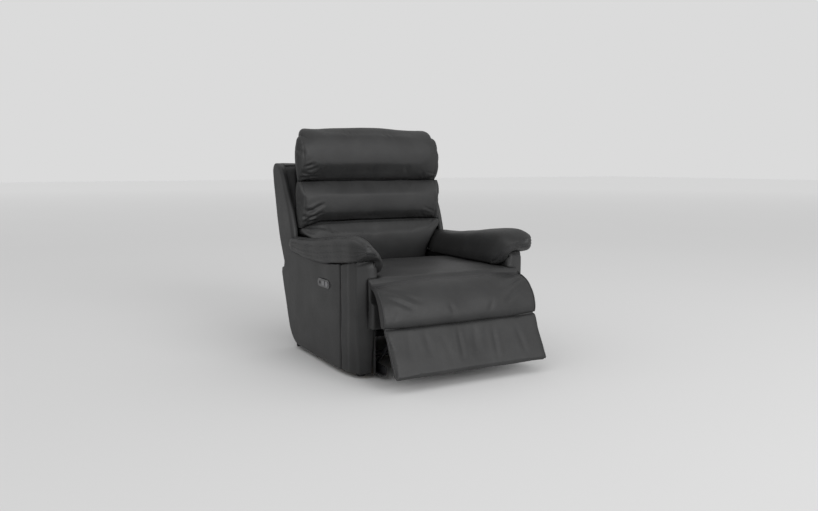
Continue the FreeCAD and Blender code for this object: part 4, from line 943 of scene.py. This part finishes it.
def pad_tables(side):
    """The arm pad's runs, each a table of (y, value): heights of the top, of the outer and inner
    lower edges and of the inner slope's drop, and how far in and out the pad reaches."""
    low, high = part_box("arm_pad_" + side)
    front, rear, foot = low.y, high.y, low.z
    inner, outer = sorted((abs(low.x), abs(high.x)))

    def rows(values, start, sign=1):
        """Rows of (share of the length, millimetres from start) as rows of (y, value)."""
        return [(front + (rear - front) * share, start + sign * height * MM) for share, height in values]

    heights = {
        "top": rows([(0, 116), (0.012, 132), (0.045, 149), (0.125, 160), (0.27, 152), (0.5, 127),
                     (0.70, 112), (0.84, 107), (0.95, 103), (1, 94)], foot),
        "outer_low": rows([(0, 98), (0.015, 84), (0.045, 68), (0.08, 60), (0.12, 53), (0.19, 45),
                           (0.4, 23), (0.5, 18), (0.62, 20), (0.8, 31), (0.895, 37), (1, 43)], foot),
        "inner_low": rows([(0, 100), (0.02, 84), (0.04, 64), (0.075, 34), (0.11, 10), (0.15, 0), (0.25, 0),
                           (0.8, 0), (0.9, 16), (1, 40)], foot),
        "slump": rows([(0, 2), (0.05, 38), (0.10, 34), (0.2, 22), (0.4, 16), (0.8, 12), (1, 4)], 0),
    }
    reach = {
        "inner": rows([(0, 84), (0.012, 64), (0.035, 36), (0.055, 16), (0.09, 3), (0.16, -5), (0.3, -4),
                       (0.7, 0), (0.8, 12), (0.88, 30), (1, 44)], inner),
        "outer": rows([(0, 44), (0.012, 30), (0.035, 14), (0.07, 4), (0.12, 0), (0.3, 0), (0.8, 0),
                       (0.87, 5), (0.92, 16), (0.96, 34), (1, 62)], outer, -1),
    }
    return front, rear, {**heights, **reach}


def arm_pad(side):
    """Long pillow over the arm: it leans in over the seat and curls down at the front."""
    sign = SIDES[side]
    front, rear, tables = pad_tables(side)
    lines = {name: smooth_run(sorted(rows), 300) for name, rows in tables.items()}
    at = lambda name, y: float(np.interp(y, lines[name][:, 0], lines[name][:, 1]))
    shares = np.concatenate([[0, 0.002, 0.006, 0.012], np.linspace(0.02, 0.99, 100), [0.996, 1]])
    rings, sections = [], []
    for y in front + (rear - front) * shares:
        section = pad_section(**{name: at(name, y) for name in lines})
        sections.append([(sign * x, y, z) for x, z in section])
        rings.append([(sign * x, y, z) for x, z in smooth_run(section, 80, closed=True)])
    pad = shell("arm_pillow_" + side, rings)
    remesh(pad, 4.5 * MM, 5)
    surface = surface_of(pad)
    for number, (corner, share) in enumerate(((9, 0.4), (11, 0.1), (12, 0.0), (12, 0.75))):
        line = [np.array(section[corner]) * (1 - share) + np.array(section[corner + 1]) * share
                for section in sections[-10:2:-1]]
        line += [curl_point(sections[3 + step], step / 15, number) for step in range(2, 15)]
        path = np.array([surface.find_nearest(Vector(place))[0] for place in smooth_run(line, 260)])
        draw_in(pad, path, 2.8 * MM, 3.4 * MM)
        row = stitches("pad_stitches_%s_%d" % (side, number), pad, path + np.array([0, 0, 3 * MM]))
        ride_thread(row)
    bar_tack(pad, side, surface)
    soften(pad, 3 * MM, 0.1, 9)
    finish_soft(pad, "base", "arm_pad_" + side, fill=0.7)


def curl_point(section, share, number):
    """Where a stitch line runs down the inner side of the pad's nose towards its low tip."""
    place = (4.3 - 0.8 * number) * (1 - share) + 0.7 * share
    first, second = np.array(section[int(place):int(place) + 2])
    return first * (int(place) + 1 - place) + second * (place - int(place))


def bar_tack(pad, side, surface):
    """Three short bars of close stitching on the pad's outer side."""
    sign = SIDES[side]
    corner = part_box("arm_pad_" + side)[0]
    start = corner.y + 215 * MM
    for number in range(3):
        z = corner.z + 96 * MM + 9 * MM * number
        places = [(sign * 0.6, y, z) for y in np.linspace(start, start + 40 * MM, 30)]
        path = np.array(cast(surface, places, (-sign, 0, 0)))
        row = stitches("bar_tack_%s_%d" % (side, number), pad, path, pitch=3 * MM, length=2.8 * MM,
                       thick=1.5 * MM)
        ride_thread(row)


# ---- seat and footrest ----

PAD_OVERHANG = 7 * MM


def hinge_line():
    """Where the chaise turns on the base."""
    return next(joint for joint in frame["joints"] if joint["name"] == "footrest_fold")["pos_m"]


def from_hinge(rows):
    """Side-view points (y, z), given as millimetres from the chaise's hinge line."""
    return offsets(*hinge_line()[1:], rows)


def seat_part():
    """The seat between the arms, crowned along and across."""
    low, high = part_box("seat_cushion")
    half = abs(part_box("arm_inner_panel_left")[0].x) - 4.5 * MM
    crown = [(high.y + 4 * MM, -24), (high.y - 10 * MM, -12), (high.y - 50 * MM, -5), (high.y - 130 * MM, 5),
             (0, 14), (-150 * MM, 18), (-250 * MM, 17), (-330 * MM, 12), (low.y - 2 * MM, 7),
             (low.y - 14 * MM, 4)]
    rings = []
    for y in np.linspace(high.y + 4 * MM, low.y - 14 * MM, 90):
        top = high.z + curve_value(crown, y) * MM
        across = np.linspace(-1, 1, 71)
        drop = np.maximum(top - high.z - 9 * MM, 0) * between(0.45, 0.85, np.abs(across))
        edge = 16 * MM * between(0.93, 1.0, np.abs(across)) ** 2
        upper = [(x * half, y, z) for x, z in zip(across, top - drop - edge)]
        lower = [(x * half, y, low.z + 2 * MM) for x in np.linspace(1, -1, 20)]
        rings.append(upper + lower)
    return shell("seat_part", rings)


def droop(piece):
    """Lets the leather fall away from the arms' corners towards the front seam."""
    points = points_of(piece)
    start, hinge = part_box("seat_cushion")[0].y, hinge_line()[2]
    ahead = between(0, 24 * MM, start - 5 * MM - points[:, 1])
    past = between(50 * MM, 130 * MM, start - points[:, 1])
    side = between(190 * MM, 365 * MM, np.abs(points[:, 0]))
    upper = between(hinge - 42 * MM, hinge - 2 * MM, points[:, 2])
    points[:, 2] -= 15 * MM * ahead * (1 - 0.8 * past) * side * upper
    place_points(piece, points)


def bend_with_chaise(piece):
    """Bakes the piece's placement into its mesh; the piece is fixed to no body."""
    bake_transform(piece)


def chaise_run():
    """The chaise's outer line in side view, from the seat's seam to its lower edge."""
    return from_hinge([(36, 58), (22, 52), (4, 49), (-14, 42), (-36, 26), (-58, 0), (-78, -34), (-91, -66),
                       (-97, -92), (-95, -110), (-85, -121), (-70, -118)])


def piping(name, piece, run, half, body=None):
    """Piping that lies on a piece along a side-view run, at each of its sides."""
    surface, made = surface_of(piece), []
    for side, sign in SIDES.items():
        path = [surface.find_nearest(Vector((sign * half, y, z)))[0] for y, z in smooth_run(run, 60)]
        cord = tube(name + "_piping_" + side, smooth_run(path[::3], len(path)), 3.2 * MM)
        finish_soft(cord, body)
        made.append(cord)
    return made


def seat_cover():
    """The seat with its front border, whose ends stand in front of the arms."""
    low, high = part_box("seat_cushion")
    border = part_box("seat_front_border")[0]
    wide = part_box("chaise_pad")[1].x + PAD_OVERHANG
    ahead, foot = border.y - 2 * MM, border.z
    (_, bend), (_, knee) = from_hinge([(0, -34), (0, -52)])
    front = [*offsets(low.y, foot, [(-2, 4)]),
             *offsets(low.y, high.z, [(-2, -20), (-3, 3), (-9, 4), (-20, -6), (-24, -22)]),
             *from_hinge([(30, 8), (24, -18)]), (ahead + 6 * MM, bend), (ahead, knee),
             *offsets(ahead, foot, [(0, 16), (5, 2)]), (low.y - 12 * MM, foot)]
    ears = swept("front_part", wide, smooth_run(front, 110, closed=True), 6 * MM)
    cover = join("seat_cover", [seat_part(), ears])
    remesh(cover, 5 * MM, 4)
    droop(cover)
    soften(cover, 3.5 * MM, 0.13, 11)
    finish_soft(cover, "base", "seat_cushion", "seat_front_roll", "seat_front_border", fill=0.7)


def chaise_cover():
    """The chaise's pad, sewn to the seat along a seam and bending round the hinge line."""
    hinge = hinge_line()
    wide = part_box("chaise_pad")[1].x + PAD_OVERHANG
    inner = from_hinge([(-64, -104), (-50, -70), (-39, -34), (-28, -8), (-12, 20), (6, 34), (34, 44)])
    cover = swept("chaise_cover", wide, smooth_run(chaise_run() + inner, 110, closed=True), 5 * MM)
    remesh(cover, 5 * MM, 3)
    points = points_of(cover)
    ahead = between(0, 70 * MM, hinge[1] - points[:, 1])
    push(cover, 9 * MM * ahead * (1 - (np.abs(points[:, 0]) / wide) ** 4))
    droop(cover)
    wrinkle_cover(cover)
    soften(cover, 4 * MM, 0.13, 11)
    across = np.linspace(8 * MM - wide, wide - 8 * MM, 220)
    for number, behind in enumerate((16 * MM, 0)):
        places = [(x, hinge[1] + behind, 1.0) for x in across]
        path = np.array(cast(surface_of(cover), places, (0, 0, -1)))
        draw_in(cover, path, 2.2 * MM, 3.4 * MM)
        row = stitches("chaise_stitches_%d" % number, cover, path)
        bend_with_chaise(row)
    for cord in piping("chaise", cover, chaise_run()[:-1], wide - 4 * MM):
        bend_with_chaise(cord)
    finish_soft(cover, None, "chaise_pad", fill=0.7)
    bend_with_chaise(cover)


def wrinkle_cover(cover):
    """Soft folds where the leather turns over the chaise and towards its corners: each has two ends,
    in millimetres from the hinge line's middle, and a depth."""
    surface, hinge = surface_of(cover), Vector(hinge_line())
    folds = [((-355, -24, 34), (-200, -70, -30), 3.2), ((-345, -60, 0), (-240, -92, -50), 3.2),
             ((350, -50, 10), (220, -90, -52), 3.2), ((-330, -96, -96), (-300, -80, -40), 1.4),
             ((340, -30, 32), (200, -60, -10), 3.2), ((-50, -94, -88), (-70, -84, -44), 1.4),
             ((120, -95, -90), (150, -86, -50), 1.4)]
    for *places, depth in folds:
        start, end = (hinge + Vector(place) * MM for place in places)
        fold_near(cover, surface, start, end, depth * MM, 10 * MM)


def footrest_run():
    """The footrest's closed side-view line: down its front, then up behind it."""
    front = from_hinge([(-92, -119), (-101, -129), (-113, -153), (-132, -194), (-155, -239), (-175, -280),
                        (-187, -304)])
    rear = from_hinge([(-188, -313), (-181, -318), (-171, -316), (-160, -302), (-147, -274), (-122, -222),
                       (-99, -172), (-82, -137), (-77, -123), (-82, -116)])
    return front, rear


def round_foot(piece, half, radius):
    """Rounds the two lower corners as seen from the front."""
    points = points_of(piece)
    across = np.abs(points[:, 0]) - (half - radius)
    down = points[:, 2].min() + radius - points[:, 2]
    corner, ratio = rounding(across, down)
    points[corner, 0] = np.sign(points[corner, 0]) * (half - radius + across[corner] * ratio)
    points[corner, 2] += down[corner] * (1 - ratio)
    place_points(piece, points)


def footrest():
    """The footrest's pad, thin and flat, with upright folds and piping down its sides."""
    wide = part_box("footrest_pad")[1].x + PAD_OVERHANG
    front, rear = footrest_run()
    pad = swept("footrest_pillow", wide, smooth_run(front + rear, 100, closed=True), 6 * MM)
    remesh(pad, 6 * MM, 3)
    round_foot(pad, wide, 22 * MM)
    push(pad, -2 * MM)
    blow_up(pad, 5 * MM, pressure=3.0)
    subdivide(pad)
    surface, hinge = surface_of(pad), hinge_line()[2]
    chance = random.Random(12)
    for number in range(7):
        x = (85 * number - 270) * MM + chance.uniform(-30, 30) * MM
        top, foot = hinge + chance.uniform(-172, -136) * MM, hinge + chance.uniform(-282, -202) * MM
        ends = cast(surface, [(x, -1.0, top), (x + chance.uniform(-26, 26) * MM, -1.0, foot)], (0, 1, 0))
        fold(pad, ends[0], ends[1], chance.uniform(0.8, 1.9) * MM, chance.uniform(9, 15) * MM)
    soften(pad, 3 * MM, 0.12, 12)
    finish_soft(pad, "footrest", "footrest_pad", fill=0.7)
    piping("footrest", pad, front + rear[:2], wide - 4 * MM, "footrest")
    knee_web(wide)


def knee_web(wide):
    """The strip of leather behind the crease that joins the chaise's pad to the footrest's."""
    strip = from_hinge([(-74, -94), (-80, -94), (-86, -112), (-92, -130), (-98, -150), (-92, -152),
                        (-85, -132), (-79, -112)])
    web = swept("knee_web", wide - 8 * MM, smooth_run(strip, 40, closed=True), 2 * MM)
    finish_soft(web, None)
    web.data.shade_smooth()
    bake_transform(web)


def rear_base():
    """Leather over the rear of the base, whose hem hangs down to just above the floor."""
    cover = copy_of("rear_base_cover", "rear_base_panel")
    remesh(cover, 5 * MM, 3)
    points = points_of(cover)
    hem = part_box("rear_base_panel")[0].z + 30 * MM
    points[:, 2] = np.where(points[:, 2] < hem, hem - (hem - points[:, 2]) * 2.4, points[:, 2])
    place_points(cover, points)
    soften(cover, 2 * MM, 0.14, 14)
    points = points_of(cover)
    points[:, 2] = np.maximum(points[:, 2], 0.4 * MM)
    place_points(cover, points)
    finish_soft(cover, "base", "rear_base_panel")


# ---- stage ----

FLOOR_HALF = 40
PLAIN_RADIUS, FAR_RADIUS = 6.0, 25.0
HORIZON_LIGHT, OVERHEAD_LIGHT, BACKGROUND = 0.42, 0.95, 0.708
LAMP_PLACE, LAMP_TARGET, LAMP_SIZE, LAMP_POWER = (1.8, -8.0, 3.2), (0, 0, 0.5), 5.0, 330
VIEW_PLACE, VIEW_DIP, VIEW_TURN = (-1.7367, -3.1701, 0.8898), 6.758, -29.125
SENSOR_WIDTH, LENS = 36.0, 33.86


def stage():
    """A pale floor that grows paler far from the chair."""
    corners = [(x * FLOOR_HALF, y * FLOOR_HALF, 0) for x, y in ((-1, -1), (1, -1), (1, 1), (-1, 1))]
    floor = mesh_piece("floor", corners, [(0, 1, 2, 3)])
    material, place, add, give = new_material("studio_floor")
    away = add("VectorMath", {0: place}, operation="LENGTH").outputs["Value"]
    near = span(add, clouds(add, place, 0.6, 2.0), 0.715, 0.725)
    far = add("MapRange", {"Value": away, "From Min": PLAIN_RADIUS, "From Max": FAR_RADIUS, "To Min": 0.0,
                           "To Max": 0.14}).outputs["Result"]
    give("Base Color", add("Math", {0: near, 1: far}, operation="ADD").outputs[0])
    give("Roughness", 1.0)
    give("Specular IOR Level", 0.0)
    floor.data.materials.append(material)


def sky():
    """Even light, stronger overhead; to the camera it is a plain pale background."""
    world = bpy.data.worlds.new("studio")
    world.use_nodes = True
    tree = world.node_tree
    add, background = adder(tree), tree.nodes["Background"]
    split = add("SeparateXYZ", {"Vector": add("TexCoord").outputs["Generated"]})
    overhead = span(add, split.outputs["Z"], HORIZON_LIGHT, OVERHEAD_LIGHT)
    seen = add("LightPath").outputs["Is Camera Ray"]
    feed(tree, background.inputs["Strength"], span(add, seen, overhead, BACKGROUND))
    feed(tree, background.inputs["Color"], (1, 1, 1, 1))
    scene.world = world


def key_light():
    """One large soft lamp, ahead of the chair and above it."""
    light = bpy.data.lights.new("key_light", "AREA")
    light.shape = "DISK"
    light.size = LAMP_SIZE
    light.energy = LAMP_POWER
    lamp = bpy.data.objects.new("key_light", light)
    lamp.location = LAMP_PLACE
    towards = Vector(LAMP_TARGET) - Vector(LAMP_PLACE)
    lamp.rotation_euler = towards.to_track_quat("-Z", "Y").to_euler()
    scene.collection.objects.link(lamp)


def camera():
    """The viewpoint, ahead of the chair's right arm and a little above it."""
    data = bpy.data.cameras.new("photo_angle")
    data.sensor_width = SENSOR_WIDTH
    data.lens = LENS
    data.clip_end = 100.0
    view = bpy.data.objects.new("photo_angle", data)
    view.location = VIEW_PLACE
    view.rotation_euler = (math.radians(90 - VIEW_DIP), 0, math.radians(VIEW_TURN))
    scene.collection.objects.link(view)
    scene.camera = view
    scene.view_settings.view_transform = "Standard"


dress_frame()
back()
for side in SIDES:
    arm_panels(side)
    arm_pad(side)
seat_cover()
chaise_cover()
footrest()
line_boards("chaise", ("chaise_board",))
line_boards("footrest", ("footrest_board",))
line_boards("base", ("arm_rear_post_left", "arm_rear_post_right"))
rear_base()
stage()
sky()
key_light()
camera()
